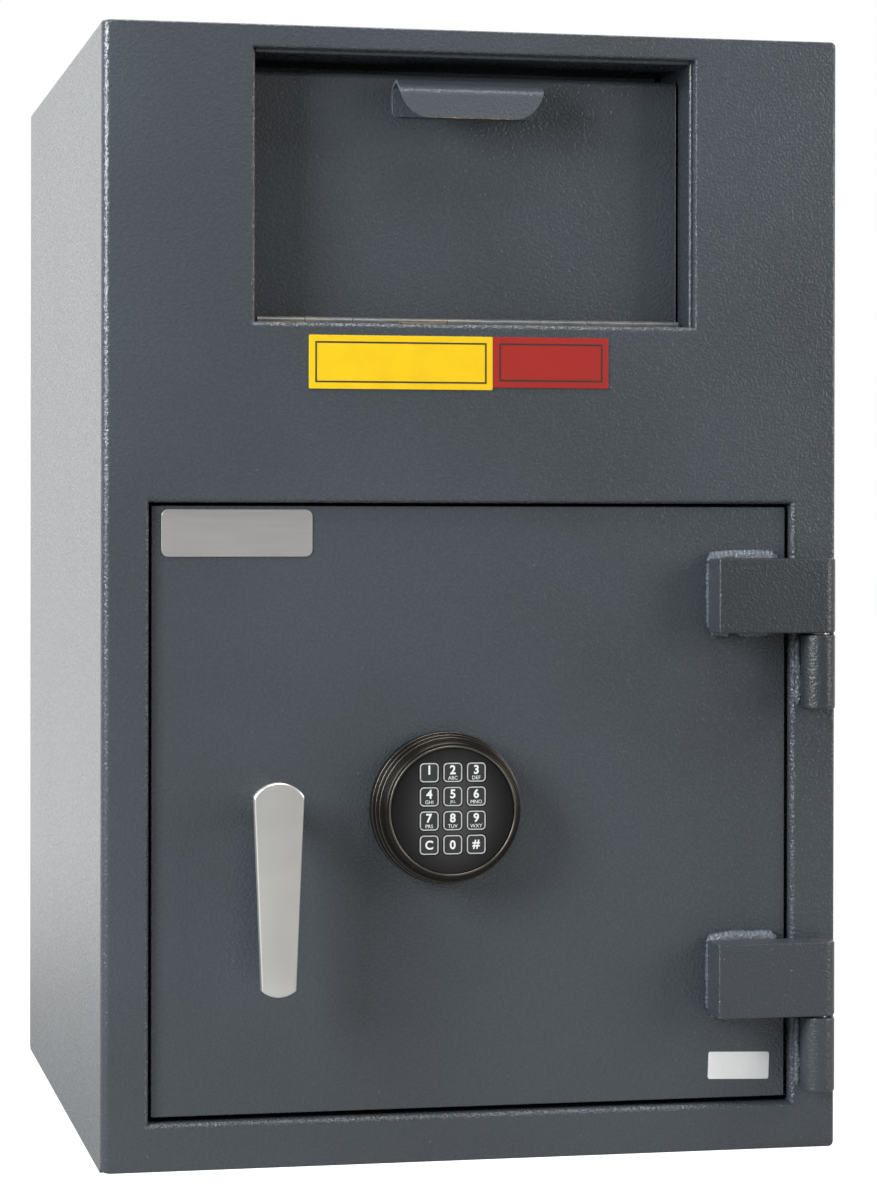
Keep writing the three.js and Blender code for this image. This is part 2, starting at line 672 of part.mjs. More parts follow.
// Dead bar: an angle on the hinge side that hooks behind the door frame
const deadBarFront = jambDepth + deadBarClearance;
const deadBarWebX = doorRight - doorThickness;
const deadBarSection = outline([
  [deadBarWebX - deadBarSheet, depthY(doorRear)],
  [deadBarWebX, depthY(doorRear)],
  [deadBarWebX, depthY(deadBarFront)],
  [hingeX + deadBarReach, depthY(deadBarFront)],
  [hingeX + deadBarReach, depthY(deadBarFront + deadBarSheet)],
  [deadBarWebX - deadBarSheet, depthY(deadBarFront + deadBarSheet)],
]);
add(door, 'dead_bar', alongZ(deadBarSection, boltWorkBottom, boltWorkTop), darkSteel);

// Locking bolts in their guide, and the bar that carries them
const boltDepth = jambDepth + boltClearance + boltRadius;
const boltTipX = -halfOpening + boltRetraction;
const boltEndX = boltTipX + boltLength;
const boltHeights = boltHeightShares.map((share) => boltWorkBottom + share * (boltWorkTop - boltWorkBottom));
const guideX = doorLeft + boltGuideSetback;
const guideOutline = rectangle(depthY(doorRear), depthY(doorRear + boltGuideDepth),
  boltWorkBottom, boltWorkTop);
for (const z of boltHeights) {
  guideOutline.holes.push(disc(depthY(boltDepth), z, boltRadius + joinGap));
}
add(door, 'bolt_guide', alongX(guideOutline, guideX, guideX + boltGuideSheet, 2 * bendSteps), darkSteel);

const bolts = new THREE.Group();
safe.add(bolts);
const boltForm = new THREE.LatheGeometry([
  new THREE.Vector2(0, 0),
  new THREE.Vector2(boltRadius - boltChamfer, 0),
  new THREE.Vector2(boltRadius, boltChamfer),
  new THREE.Vector2(boltRadius, boltLength),
  new THREE.Vector2(0, boltLength),
], roundSteps).rotateZ(-Math.PI / 2);
for (const [index, place] of ['lower', 'middle', 'upper'].entries()) {
  add(bolts, `bolt_${place}`, boltForm, bareSteel, [boltTipX, depthY(boltDepth), boltHeights[index]]);
}

// Crank pin at the start of the lever's turn, half of that turn to the right of straight down
const crankPinX = leverX + crankRadius * Math.sin(halfTurn);
const crankPinZ = spindleHeight - crankRadius * Math.cos(halfTurn);
const lockLeft = keypadX - lockWidth / 2;
const lockBottom = keypadHeight - lockHeight / 2;
const lockPivotX = lockLeft + lockPivotInset;
const lockPivotZ = lockBottom + lockPivotRise;
function makeBoltBar() {
  const barLow = boltHeights[0] - boltBarOverhang;
  const barHigh = boltHeights[2] + boltBarOverhang;
  const shape = outline([
    [boltEndX, barLow], [boltEndX + boltBarWidth, barLow],
    [boltEndX + boltBarWidth, lockPivotZ - boltArmHeight / 2],
    [lockLeft - boltArmGap, lockPivotZ - boltArmHeight / 2],
    [lockLeft - boltArmGap, lockPivotZ + boltArmHeight / 2],
    [boltEndX + boltBarWidth, lockPivotZ + boltArmHeight / 2],
    [boltEndX + boltBarWidth, barHigh], [boltEndX, barHigh],
  ]);
  const slotSide = crankPinRadius + crankSlotSide;
  const slotEnd = crankPinRadius + crankSlotEnd;
  shape.holes.push(rectangle(crankPinX - slotSide, crankPinX + slotSide,
    spindleHeight - crankRadius - slotEnd, crankPinZ + slotEnd));
  return alongY(shape, depthY(boltDepth) - boltBarThickness / 2, depthY(boltDepth) + boltBarThickness / 2);
}
add(bolts, 'bolt_bar', makeBoltBar(), darkSteel);

// Lever: a tapered paddle on a round hub, and the spindle with its crank behind the door
const handle = new THREE.Group();
safe.add(handle);
function leverOutline(inset) {
  const top = leverTopRise - inset;
  const bottom = leverTopRise - leverLength + inset;
  const topHalf = leverTopWidth / 2 - inset;
  const bottomHalf = leverBottomWidth / 2 - inset;
  const topRadius = (topHalf ** 2 + leverTopSagitta ** 2) / (2 * leverTopSagitta);
  const bottomRadius = (bottomHalf ** 2 + leverBottomSagitta ** 2) / (2 * leverBottomSagitta);
  const topSweep = Math.asin(topHalf / topRadius);
  const bottomSweep = Math.asin(bottomHalf / bottomRadius);
  const shape = new THREE.Shape();
  shape.absarc(0, bottom + bottomRadius, bottomRadius, -Math.PI / 2 - bottomSweep,
    -Math.PI / 2 + bottomSweep, false);
  shape.absarc(0, top - topRadius, topRadius, Math.PI / 2 - topSweep, Math.PI / 2 + topSweep, false);
  return shape;
}
function makeLever() {
  const paddle = new THREE.ExtrudeGeometry(leverOutline(leverEdge), {
    depth: leverThickness - 2 * leverEdge, bevelEnabled: true, bevelSize: leverEdge,
    bevelThickness: leverEdge, bevelSegments: 2, curveSegments: 2 * bendSteps,
  });
  paddle.rotateX(Math.PI / 2).translate(0, -leverStandoff - leverEdge, 0);
  const hub = alongY(disc(0, 0, hubRadius), -leverStandoff - leverThickness / 2, -hubGap, 3 * bendSteps);
  const socket = alongY(disc(0, 0, spindleRadius + joinGap), -hubSocket, overrun, 2 * bendSteps);
  return cut(join(paddle, hub), socket);
}
add(handle, 'lever_handle', makeLever(), satinMetal, [leverX, depthY(doorRecess), spindleHeight]);
function makeSpindle() {
  const crankFront = doorThickness + crankGap;
  const crankRear = crankFront + crankThickness;
  const pinEnd = depthY(boltDepth) + boltBarThickness / 2 + crankPinOverrun - depthY(doorRecess);
  const rod = alongY(disc(0, 0, spindleRadius), -hubSocket + hubGap, crankRear, 2 * bendSteps);
  const web = new THREE.Shape();
  web.absarc(0, 0, crankEyeRadius, 0, Math.PI, false);
  web.absarc(0, -crankRadius, crankTipRadius, Math.PI, 2 * Math.PI, false);
  const arm = alongY(web, crankFront, crankRear, 2 * bendSteps);
  const pin = alongY(disc(0, -crankRadius, crankPinRadius), crankFront, pinEnd, 2 * bendSteps);
  return join(rod, arm, pin).rotateY(-halfTurn);
}
add(handle, 'spindle_and_crank', makeSpindle(), darkSteel, [leverX, depthY(doorRecess), spindleHeight]);

// Keypad housing: a stepped ring turned on a lathe, open in front for the face and behind for the board
function makeKeypadHousing() {
  const faceSeat = keypadProjection - keypadFaceRecess - keypadFaceThickness;
  const wallRadius = boardBore - keypadLedge;
  const profile = [[wallRadius, 0], [keypadRadius, 0]];
  for (let i = 0; i < keypadSteps; i += 1) {
    const radius = keypadRadius - i * keypadStepWidth;
    const top = keypadBaseHeight + i * keypadStepHeight;
    profile.push([radius, top - keypadStepEase], [radius - keypadStepEase, top]);
    profile.push([radius - keypadStepWidth, top]);
  }
  profile.push(
    [keypadFaceBore + keypadRim, keypadProjection - keypadStepEase],
    [keypadFaceBore + keypadRim / 2, keypadProjection],
    [keypadFaceBore, keypadProjection - keypadStepEase],
    [keypadFaceBore, faceSeat], [boardBore, faceSeat],
    [boardBore, boardHeight], [wallRadius, boardHeight], [wallRadius, 0],
  );
  const points = profile.map(([radius, height]) => new THREE.Vector2(radius, height));
  return new THREE.LatheGeometry(points, fineSteps).rotateX(Math.PI);
}
const keypadPlace = [keypadX, depthY(doorRecess), keypadHeight];
add(door, 'keypad_housing', makeKeypadHousing(), blackPlastic, keypadPlace);
const faceFront = keypadProjection - keypadFaceRecess;
const faceOutline = disc(0, 0, keypadFaceRadius);
const keyPlaces = [];
for (const [row, names] of keyRows.entries()) {
  for (const [column, name] of names.entries()) {
    const x = (column - (names.length - 1) / 2) * keyPitch;
    const z = keyRowsRise + ((keyRows.length - 1) / 2 - row) * keyPitch;
    const half = keySize / 2 + keyGap;
    faceOutline.holes.push(roundedRectangle(x - half, x + half, z - half, z + half, keyRound + keyGap));
    keyPlaces.push([`key_${name}`, x, z]);
  }
}
add(door, 'keypad_face', alongY(faceOutline, -faceFront, -faceFront + keypadFaceThickness, 3 * bendSteps),
  blackPlastic, keypadPlace);
const boardForm = alongY(disc(0, 0, boardBore - joinGap), -boardHeight - boardThickness,
  -boardHeight, 2 * bendSteps);
add(door, 'circuit_board', boardForm, boardGreen, keypadPlace);
const halfKey = keySize / 2;
const keyForm = alongY(roundedRectangle(-halfKey, halfKey, -halfKey, halfKey, keyRound),
  -faceFront - keyProud, -faceFront - keyProud + keyLength, bendSteps);
const keys = new THREE.Group();
keys.position.set(...keypadPlace);
safe.add(keys);
for (const [name, x, z] of keyPlaces) {
  add(keys, name, keyForm, keyPlastic, [x, 0, z]);
}

// Lock case on the back of the door, and the swing bolt that turns in its open pocket
const lockRear = doorRear + lockThickness;
const pocketFront = doorRear + lockFloor;
const pocketRear = lockRear - lockCover;
function makeLockCase() {
  const box = block(lockLeft, lockLeft + lockWidth, depthY(doorRear), depthY(lockRear),
    lockBottom, lockBottom + lockHeight);
  const pocket = alongY(disc(lockPivotX, lockPivotZ, swingBoltRadius + swingGap), depthY(pocketFront),
    depthY(pocketRear), 3 * bendSteps);
  const pin = alongY(disc(lockPivotX, lockPivotZ, swingPinRadius), depthY(pocketFront - overrun),
    depthY(pocketRear + overrun), 2 * bendSteps);
  return join(cut(box, pocket), pin);
}
add(door, 'lock_case', makeLockCase(), satinMetal);
const swingOutline = new THREE.Shape();
swingOutline.absarc(0, 0, swingBoltRadius, -Math.PI / 2, Math.PI / 2, false);
swingOutline.absarc(0, 0, swingBoltHub, Math.PI / 2, 1.5 * Math.PI, false);
swingOutline.holes.push(disc(0, 0, swingPinRadius + swingGap));
add(safe, 'swing_bolt', alongY(swingOutline, depthY(pocketFront + swingGap), depthY(pocketRear - swingGap),
  3 * bendSteps), bareSteel, [lockPivotX, 0, lockPivotZ]);

// Plates: a bare name plate on the door, and a bare yellow and a bare red plate under the deposit sill
const nameLeft = doorLeft + namePlateInsetX;
const nameTop = doorTop - namePlateInsetTop;
add(door, 'name_plate', alongY(roundedRectangle(nameLeft, nameLeft + namePlateWidth,
  nameTop - namePlateHeight, nameTop, namePlateRound), depthY(doorRecess - plateThickness),
depthY(doorRecess)), silverPlate);
const platesTop = depositSillHeight - openingRound - platesBelowSill;
const yellowLeft = -halfDeposit + yellowPlateInset;
add(shell, 'yellow_plate', block(yellowLeft, yellowLeft + yellowPlateWidth,
  frontY - plateThickness, frontY, platesTop - yellowPlateHeight, platesTop), yellowPlate);
const redLeft = yellowLeft + yellowPlateWidth + platesGap;
add(shell, 'red_plate', block(redLeft, redLeft + redPlateWidth,
  frontY - plateThickness, frontY, platesTop - redPlateHeight, platesTop), redPlate);

export default safe;
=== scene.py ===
"""Drop safe with a tilting deposit hopper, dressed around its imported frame."""

import math

import bmesh
import bpy
from mathutils import Matrix, Vector


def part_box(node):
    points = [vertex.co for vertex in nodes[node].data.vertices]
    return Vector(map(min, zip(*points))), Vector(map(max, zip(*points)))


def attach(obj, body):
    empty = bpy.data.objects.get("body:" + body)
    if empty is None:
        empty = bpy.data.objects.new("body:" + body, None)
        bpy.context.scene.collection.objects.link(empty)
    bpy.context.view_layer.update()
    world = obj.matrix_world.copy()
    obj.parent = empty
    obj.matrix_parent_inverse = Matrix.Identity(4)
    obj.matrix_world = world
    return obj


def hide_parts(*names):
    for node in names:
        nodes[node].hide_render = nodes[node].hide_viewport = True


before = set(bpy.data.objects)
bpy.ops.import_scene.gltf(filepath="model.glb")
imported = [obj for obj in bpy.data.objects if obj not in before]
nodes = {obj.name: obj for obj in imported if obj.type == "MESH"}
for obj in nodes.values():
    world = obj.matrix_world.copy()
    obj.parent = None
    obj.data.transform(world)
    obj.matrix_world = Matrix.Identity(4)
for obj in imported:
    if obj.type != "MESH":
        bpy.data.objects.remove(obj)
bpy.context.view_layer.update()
scene = bpy.context.scene


# Camera
# It stands a little left of the safe, near the height of the door's top edge, and looks level to the
# right. The photograph is a crop, so the lens is shifted.
PHOTO_WIDTH = 877
PHOTO_HEIGHT = 1200
FOCAL_PIXELS = 3156.5
AXIS_PIXEL_X = 359.1
AXIS_PIXEL_Y = 532.0
SENSOR = 36.0
FAR_CLIP = 60
camera_place = Vector((-0.4924, -2.3270, 0.4333))
camera_yaw = 0.1959
camera_pitch = -0.0044
camera_roll = 0.0016


def placed(name, data):
    """A new object in the scene."""
    thing = bpy.data.objects.new(name, data)
    scene.collection.objects.link(thing)
    return thing


camera_data = bpy.data.cameras.new("camera")
camera_data.sensor_width = SENSOR
camera_data.lens = FOCAL_PIXELS / PHOTO_HEIGHT * SENSOR
camera_data.shift_x = (PHOTO_WIDTH / 2 - AXIS_PIXEL_X) / PHOTO_HEIGHT
camera_data.shift_y = (AXIS_PIXEL_Y - PHOTO_HEIGHT / 2) / PHOTO_HEIGHT
camera_data.clip_end = FAR_CLIP
forward = Vector((math.sin(camera_yaw) * math.cos(camera_pitch),
                  math.cos(camera_yaw) * math.cos(camera_pitch),
                  math.sin(camera_pitch)))
level = Vector((math.cos(camera_yaw), -math.sin(camera_yaw), 0))
upright = level.cross(forward)
right = level * math.cos(camera_roll) + upright * math.sin(camera_roll)
up = right.cross(forward)
camera = placed("camera", camera_data)
camera.matrix_world = Matrix.Translation(camera_place) @ Matrix((right, up, -forward)).transposed().to_4x4()
scene.camera = camera
scene.view_settings.view_transform = "Standard"


# Studio
# A white room: the backdrop behind the safe is bright, the side that the camera stands on is dimmer,
# and three soft boxes light the front: a tall narrow one far to the left, one to the right, one overhead.
BACKDROP_GLOW = 1.3
CAMERA_SIDE_GLOW = 0.30
ROOM_LIGHT = 0.09
ROOM_RAMP = (0.1, 0.93)
FLOOR_SIZE = 30
FLOOR_COLOUR = (0.42, 0.42, 0.42, 1)
FLOOR_GLOW = 0.96
FLOOR_FRONT_GLOW = 0.10
FLOOR_RAMP = (-0.8, 2.2)
LAMP_TARGET = Vector((0, -0.25, 0.4))
SOFT_BOXES = [
    ("left_box", (-1.60, -1.10, 1.10), (0.56, 1.1), 51, (0.91, 0.965, 1.0)),
    ("right_box", (2.36, -1.70, 1.0), (1.4, 1.6), 40, (1.0, 0.985, 0.96)),
    ("overhead_box", (0.0, -0.62, 2.0), (1.1, 0.6), 25, (1.0, 1.0, 1.0)),
]


def feed(tree, socket, value):
    """Sets a socket to a plain value, or links another socket to it."""
    if isinstance(value, bpy.types.NodeSocket):
        tree.links.new(value, socket)
    elif isinstance(value, tuple) and len(value) == 3 and socket.type == "RGBA":
        socket.default_value = (*value, 1)
    else:
        socket.default_value = value


def calculate(tree, operation, *values):
    """A math node on numbers and sockets."""
    node = tree.nodes.new("ShaderNodeMath")
    node.operation = operation
    for socket, value in zip(node.inputs, values):
        feed(tree, socket, value)
    return node.outputs[0]


def spread(tree, value, low, high, to_low=0.0, to_high=1.0):
    """Maps low to high of a value to to_low to to_high, smoothly."""
    node = tree.nodes.new("ShaderNodeMapRange")
    node.interpolation_type = "SMOOTHSTEP"
    for label, number in (("Value", value), ("From Min", low), ("From Max", high),
                          ("To Min", to_low), ("To Max", to_high)):
        feed(tree, node.inputs[label], number)
    return node.outputs["Result"]


def mixed(tree, factor, first, second):
    """A number between two."""
    node = tree.nodes.new("ShaderNodeMix")
    for label, value in (("Factor", factor), ("A", first), ("B", second)):
        feed(tree, node.inputs[label], value)
    return node.outputs["Result"]


def depth_glow(tree, place, ramp, front_glow):
    """The room's glow, which grows from the camera's side to the backdrop along Y."""
    axes = tree.nodes.new("ShaderNodeSeparateXYZ")
    tree.links.new(place, axes.inputs[0])
    return spread(tree, axes.outputs["Y"], *ramp, front_glow, BACKDROP_GLOW)


world = bpy.data.worlds.new("studio")
scene.world = world
world.use_nodes = True
tree = world.node_tree
tree.nodes.clear()
direction = tree.nodes.new("ShaderNodeTexCoord")
rays = tree.nodes.new("ShaderNodeLightPath")
glow = depth_glow(tree, direction.outputs["Generated"], ROOM_RAMP, CAMERA_SIDE_GLOW)
seen_by_gloss = mixed(tree, rays.outputs["Is Glossy Ray"], ROOM_LIGHT, glow)
background = tree.nodes.new("ShaderNodeBackground")
background.inputs["Color"].default_value = (1, 1, 1, 1)
feed(tree, background.inputs["Strength"], mixed(tree, rays.outputs["Is Camera Ray"], seen_by_gloss, 1.0))
world_output = tree.nodes.new("ShaderNodeOutputWorld")
tree.links.new(background.outputs[0], world_output.inputs[0])

floor_mesh = bpy.data.meshes.new("floor")
half_floor = FLOOR_SIZE / 2
floor_mesh.from_pydata(
    [(-half_floor, -half_floor, 0), (half_floor, -half_floor, 0),
     (half_floor, half_floor, 0), (-half_floor, half_floor, 0)], [], [(0, 1, 2, 3)])
floor = placed("floor", floor_mesh)
floor_paint = bpy.data.materials.new("studio_floor")
floor_paint.use_nodes = True
tree = floor_paint.node_tree
tree.nodes.clear()
matt = tree.nodes.new("ShaderNodeBsdfDiffuse")
matt.inputs["Color"].default_value = FLOOR_COLOUR
geometry = tree.nodes.new("ShaderNodeNewGeometry")
rays = tree.nodes.new("ShaderNodeLightPath")
glow = depth_glow(tree, geometry.outputs["Position"], FLOOR_RAMP, FLOOR_FRONT_GLOW)
in_gloss = calculate(tree, "MULTIPLY", rays.outputs["Is Glossy Ray"], glow)
seen = calculate(tree, "MAXIMUM", rays.outputs["Is Camera Ray"], in_gloss)
shine = tree.nodes.new("ShaderNodeEmission")
feed(tree, shine.inputs["Strength"], calculate(tree, "MULTIPLY", seen, FLOOR_GLOW))
both = tree.nodes.new("ShaderNodeAddShader")
tree.links.new(matt.outputs[0], both.inputs[0])
tree.links.new(shine.outputs[0], both.inputs[1])
floor_output = tree.nodes.new("ShaderNodeOutputMaterial")
tree.links.new(both.outputs[0], floor_output.inputs["Surface"])
floor_mesh.materials.append(floor_paint)

for name, place, size, power, hue in SOFT_BOXES:
    lamp_data = bpy.data.lights.new(name, "AREA")
    lamp_data.shape = "RECTANGLE"
    lamp_data.size, lamp_data.size_y = size
    lamp_data.energy = power
    lamp_data.color = hue
    lamp = placed(name, lamp_data)
    lamp.location = place
    lamp.rotation_euler = (LAMP_TARGET - Vector(place)).to_track_quat("-Z", "Y").to_euler()


# Shell plates under grey enamel
# Flat steel plates, welded along their edges, ground round and sprayed. The enamel is semi-gloss, with
# the fine dimples of orange peel, a drift of tone over a hand's width and a few specks of dust in it.
ENAMEL_DARK = (0.045, 0.052, 0.059)
ENAMEL_LIGHT = (0.052, 0.061, 0.071)
ENAMEL_SPECULAR = 0.6
DUST = (0.13, 0.14, 0.15)
DUST_SCALE = 330.0
DUST_EDGE = (0.865, 0.885)
DRIFT_SCALE = 5.0
DIMPLES = 560.0
DIMPLE_DEPTH = 0.00048
FINE_DIMPLES = 2.6
FINE_SHARE = 0.28
MEAN_HEIGHT = 0.64
SHEEN_GRAIN = 0.3
GROUND_RADIUS = 0.0025
REAR_RADIUS = 0.00225
ANCHOR_INSET = 0.064
ANCHOR_RADIUS = 0.0065
ANCHOR_STEPS = 48
QUARTER = math.pi / 2
PLACES = {
    "x": lambda u, v, along: (along, u, v),
    "y": lambda u, v, along: (u, along, v),
    "z": lambda u, v, along: (u, v, along),
}


def noise(tree, vector, scale, detail=1.0, roughness=0.5):
    """A noise texture, whose scale is a number or a socket."""
    texture = tree.nodes.new("ShaderNodeTexNoise")
    for label, value in (("Vector", vector), ("Scale", scale), ("Detail", detail), ("Roughness", roughness)):
        feed(tree, texture.inputs[label], value)
    return texture.outputs["Fac"]


def tint(tree, factor, first, second):
    """A colour between two, each a tuple or a socket."""
    node = tree.nodes.new("ShaderNodeMix")
    node.data_type = "RGBA"
    feed(tree, node.inputs["Factor"], factor)
    feed(tree, node.inputs[6], first)
    feed(tree, node.inputs[7], second)
    return node.outputs[2]


def object_place(tree, scale=(1, 1, 1), turn=(0, 0, 0)):
    """The object's coordinates, turned and then scaled along each axis, for grain that runs one way."""
    node = tree.nodes.new("ShaderNodeMapping")
    tree.links.new(tree.nodes.new("ShaderNodeTexCoord").outputs["Object"], node.inputs["Vector"])
    node.inputs["Rotation"].default_value = turn
    node.inputs["Scale"].default_value = scale
    return node.outputs[0]


def new_finish(name, roughness=0.5, metallic=0.0):
    """A material with its shader's plain values set."""
    material = bpy.data.materials.new(name)
    material.use_nodes = True
    shader = material.node_tree.nodes["Principled BSDF"]
    shader.inputs["Roughness"].default_value = roughness
    shader.inputs["Metallic"].default_value = metallic
    return material, material.node_tree, shader


def raise_relief(tree, shader, height, distance):
    """A bump from a height to the shader's normal."""
    bump = tree.nodes.new("ShaderNodeBump")
    bump.inputs["Distance"].default_value = distance
    feed(tree, bump.inputs["Height"], height)
    tree.links.new(bump.outputs["Normal"], shader.inputs["Normal"])


orange_peel = tree = bpy.data.node_groups.new("orange_peel", "ShaderNodeTree")
density = tree.interface.new_socket("Dimples per metre", in_out="INPUT", socket_type="NodeSocketFloat")
density.default_value = DIMPLES
for label in ("Height", "Drift", "Speck"):
    tree.interface.new_socket(label, in_out="OUTPUT", socket_type="NodeSocketFloat")
dimples = tree.nodes.new("NodeGroupInput").outputs[0]
place = object_place(tree)
coarse = noise(tree, place, dimples, 1.2, 0.45)
fine = noise(tree, place, calculate(tree, "MULTIPLY", dimples, FINE_DIMPLES))
peel_end = tree.nodes.new("NodeGroupOutput")
for socket, value in zip(peel_end.inputs, (
        calculate(tree, "MULTIPLY_ADD", fine, FINE_SHARE, coarse),
        spread(tree, noise(tree, place, DRIFT_SCALE, 2.0), 0.35, 0.65),
        spread(tree, noise(tree, place, DUST_SCALE, 0.0), *DUST_EDGE))):
    feed(tree, socket, value)


def make_enamel(name, sheen, shade=1.0, relief=1.0, dimples=DIMPLES):
    """Sprayed enamel, with a rougher sheen where the tone is lighter. A shade below 1 darkens it."""
    material, tree, shader = new_finish(name)
    peel = tree.nodes.new("ShaderNodeGroup")
    peel.node_tree = orange_peel
    peel.inputs[0].default_value = dimples
    height, drift, speck = peel.outputs
    dark, light = (tuple(channel * shade for channel in colour) for colour in (ENAMEL_DARK, ENAMEL_LIGHT))
    feed(tree, shader.inputs["Base Color"], tint(tree, speck, tint(tree, drift, dark, light), DUST))
    bumps = calculate(tree, "SUBTRACT", height, MEAN_HEIGHT)
    feed(tree, shader.inputs["Roughness"],
         calculate(tree, "MULTIPLY_ADD", bumps, SHEEN_GRAIN, spread(tree, drift, 0.0, 1.0, *sheen)))
    raise_relief(tree, shader, height, relief * DIMPLE_DEPTH)
    shader.inputs["Specular IOR Level"].default_value = ENAMEL_SPECULAR
    return material


def arc(u, v, radius, start, steps, turn=QUARTER):
    """Points along an arc round (u, v)."""
    angles = [start + turn * step / steps for step in range(steps + 1)]
    return [Vector((u + radius * math.cos(angle), v + radius * math.sin(angle))) for angle in angles]


def circle(u, v, radius, steps):
    return arc(u, v, radius, 0, steps, 4 * QUARTER)[:-1]


def rectangle(u0, u1, v0, v1, radius=0.0, steps=6, rounded=(0, 1, 2, 3)):
    """Corners of a rectangle, anticlockwise. A radius rounds those in the list, 0 at the lower right."""
    if not radius:
        return [Vector((u0, v0)), Vector((u1, v0)), Vector((u1, v1)), Vector((u0, v1))]
    points = []
    for number, (u, v, way_u, way_v) in enumerate(((u1, v0, -1, 1), (u1, v1, -1, -1),
                                                   (u0, v1, 1, -1), (u0, v0, 1, 1))):
        if number in rounded:
            points += arc(u + way_u * radius, v + way_v * radius, radius, (number - 1) * QUARTER, steps)
        else:
            points.append(Vector((u, v)))
    return points


def inset_outline(points, distance):
    """An anticlockwise outline moved inwards, or outwards for a negative distance."""
    if not distance:
        return points
    shifted = []
    for before, point, after in zip(points[-1:] + points[:-1], points, points[1:] + points[:1]):
        entering = (point - before).normalized()
        leaving = (after - point).normalized()
        normal = Vector((-entering.y - leaving.y, entering.x + leaving.x))
        shifted.append(point + normal * (2 * distance / normal.length_squared))
    return shifted


def edge_profile(start, end, first=0.0, last=0.0, steps=3):
    """Places along a plate and insets there, where its two edges are rounded by first and last."""
    way = math.copysign(1, end - start)
    angles = [QUARTER * step / steps for step in range(steps + 1)]
    profile = [(start, 0.0)]
    if first:
        profile = [(start + way * first * (1 - math.cos(a)), first * (1 - math.sin(a))) for a in angles]
    if last:
        profile += [(end - way * last * (1 - math.cos(a)), last * (1 - math.sin(a))) for a in angles[::-1]]
    else:
        profile.append((end, 0.0))
    return profile


def bridge(bm, ring, following):
    """Closes the band between two rings of as many points."""
    for i, corner in enumerate(ring):
        j = (i + 1) % len(ring)
        bm.faces.new((corner, ring[j], following[j], following[i]))


def add_runs(bm, axis, runs):
    """Joins each run of outlines (place along the axis, points) to a wall, and closes both ends."""
    place = PLACES[axis]
    caps = ([], [])
    for run in runs:
        rings = [[bm.verts.new(place(point.x, point.y, along)) for point in points] for along, points in run]
        for ring, following in zip(rings, rings[1:]):
            bridge(bm, ring, following)
        for cap, ring in zip(caps, (rings[0], rings[-1])):
            cap += [bm.edges.get((ring[i - 1], ring[i])) for i in range(len(ring))]
    for cap in caps:
        bmesh.ops.triangle_fill(bm, use_beauty=True, edges=cap)


def add_prism(bm, axis, outer, profile, holes=(), hole_profile=None):
    """Runs an outline along an axis by a profile. Holes widen where the outline shrinks."""
    runs = [[(along, inset_outline(outer, inset)) for along, inset in profile]]
    runs += [[(along, inset_outline(hole, -inset)) for along, inset in hole_profile or profile]
             for hole in holes]
    add_runs(bm, axis, runs)


def piece_of(mesh, name, body, slot, *replaced):
    """A plain mesh as a piece on its body."""
    mesh.name = name
    piece = placed(name, mesh)
    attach(piece, body)
    if replaced:
        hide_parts(*replaced)
    return piece


def finished(bm, name, materials, body, slot, *replaced, sharp=35, even=True):
    """Makes a bmesh a piece on its body: faces outward, smooth, with creases at sharp edges."""
    bmesh.ops.recalc_face_normals(bm, faces=bm.faces)
    for face in bm.faces:
        face.smooth = True
    for edge in bm.edges:
        edge.smooth = edge.is_manifold and edge.calc_face_angle(math.pi) < math.radians(sharp)
    mesh = bpy.data.meshes.new(name)
    bm.to_mesh(mesh)
    bm.free()
    for material in materials:
        mesh.materials.append(material)
    piece = piece_of(mesh, name, body, slot, *replaced)
    if even:
        normals = piece.modifiers.new("even_normals", "WEIGHTED_NORMAL")
        normals.keep_sharp = True
        normals.weight = 80
    return piece


def dressed_plate(node, name, material, body, slot, axis, corners=(), edges=(0.0, 0.0), holes=()):
    """A node's box as a piece with rounded corners and edges. Holes pass straight through it."""
    low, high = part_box(node)
    along = "xyz".index(axis)
    u, v = (number for number in range(3) if number != along)
    bm = bmesh.new()
    add_prism(bm, axis, rectangle(low[u], high[u], low[v], high[v], *corners),
              edge_profile(low[along], high[along], *edges), holes, edge_profile(low[along], high[along]))
    finished(bm, name, [material], body, slot, node)


def coat(material, *names):
    """Gives a finish to frame nodes whose shape stays as it is."""
    for name in names:
        materials = nodes[name].data.materials
        materials.clear()
        materials.append(material)


enamel = make_enamel("grey_enamel", (0.26, 0.26))
coat(enamel, "left_side_plate", "right_side_plate")

dressed_plate("top_plate", "top_skin", enamel, "safe_body", "paint", "y", (GROUND_RADIUS, 6, (1, 2)))
dressed_plate("back_plate", "back_skin", enamel, "safe_body", "paint", "y", (GROUND_RADIUS,),
              (0.0, REAR_RADIUS))
anchor_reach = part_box("bottom_plate")[1].x - ANCHOR_INSET
anchor_holes = [circle(x, y, ANCHOR_RADIUS, ANCHOR_STEPS)
                for x in (-anchor_reach, anchor_reach) for y in (-anchor_reach, anchor_reach)]
dressed_plate("bottom_plate", "base_skin", enamel, "safe_body", "paint", "z", holes=anchor_holes)


# Front plate
# One flame-cut plate with both openings. Its upright edges are ground to a large round and its top and
# bottom edges are only broken. The deposit opening is cut to the outside of the tunnel's sheet.
FRONT_EDGES = (0.0062, 0.0022, 0.0012, 0.0012)
DEPOSIT_EDGES = (0.0010, 0.0015, 0.0042, 0.0022)
DOORWAY_EDGES = (0.0036, 0.0046, 0.0042, 0.0040)
FRONT_CORNER = 0.0035
EDGE_DEPTHS = (0.0, 0.00012, 0.00035, 0.0007, 0.0012, 0.0018, 0.0026, 0.0035, 0.0045, 0.0055)
HIGHLIGHT_NORMALS = (-0.94, -0.12)
CUT_NORMALS = (-0.98, -0.2)
deposit_opening = (-0.1532, 0.1532, 0.5645, 0.7467)
doorway = (-0.2223, 0.2223, 0.0318, 0.4435)


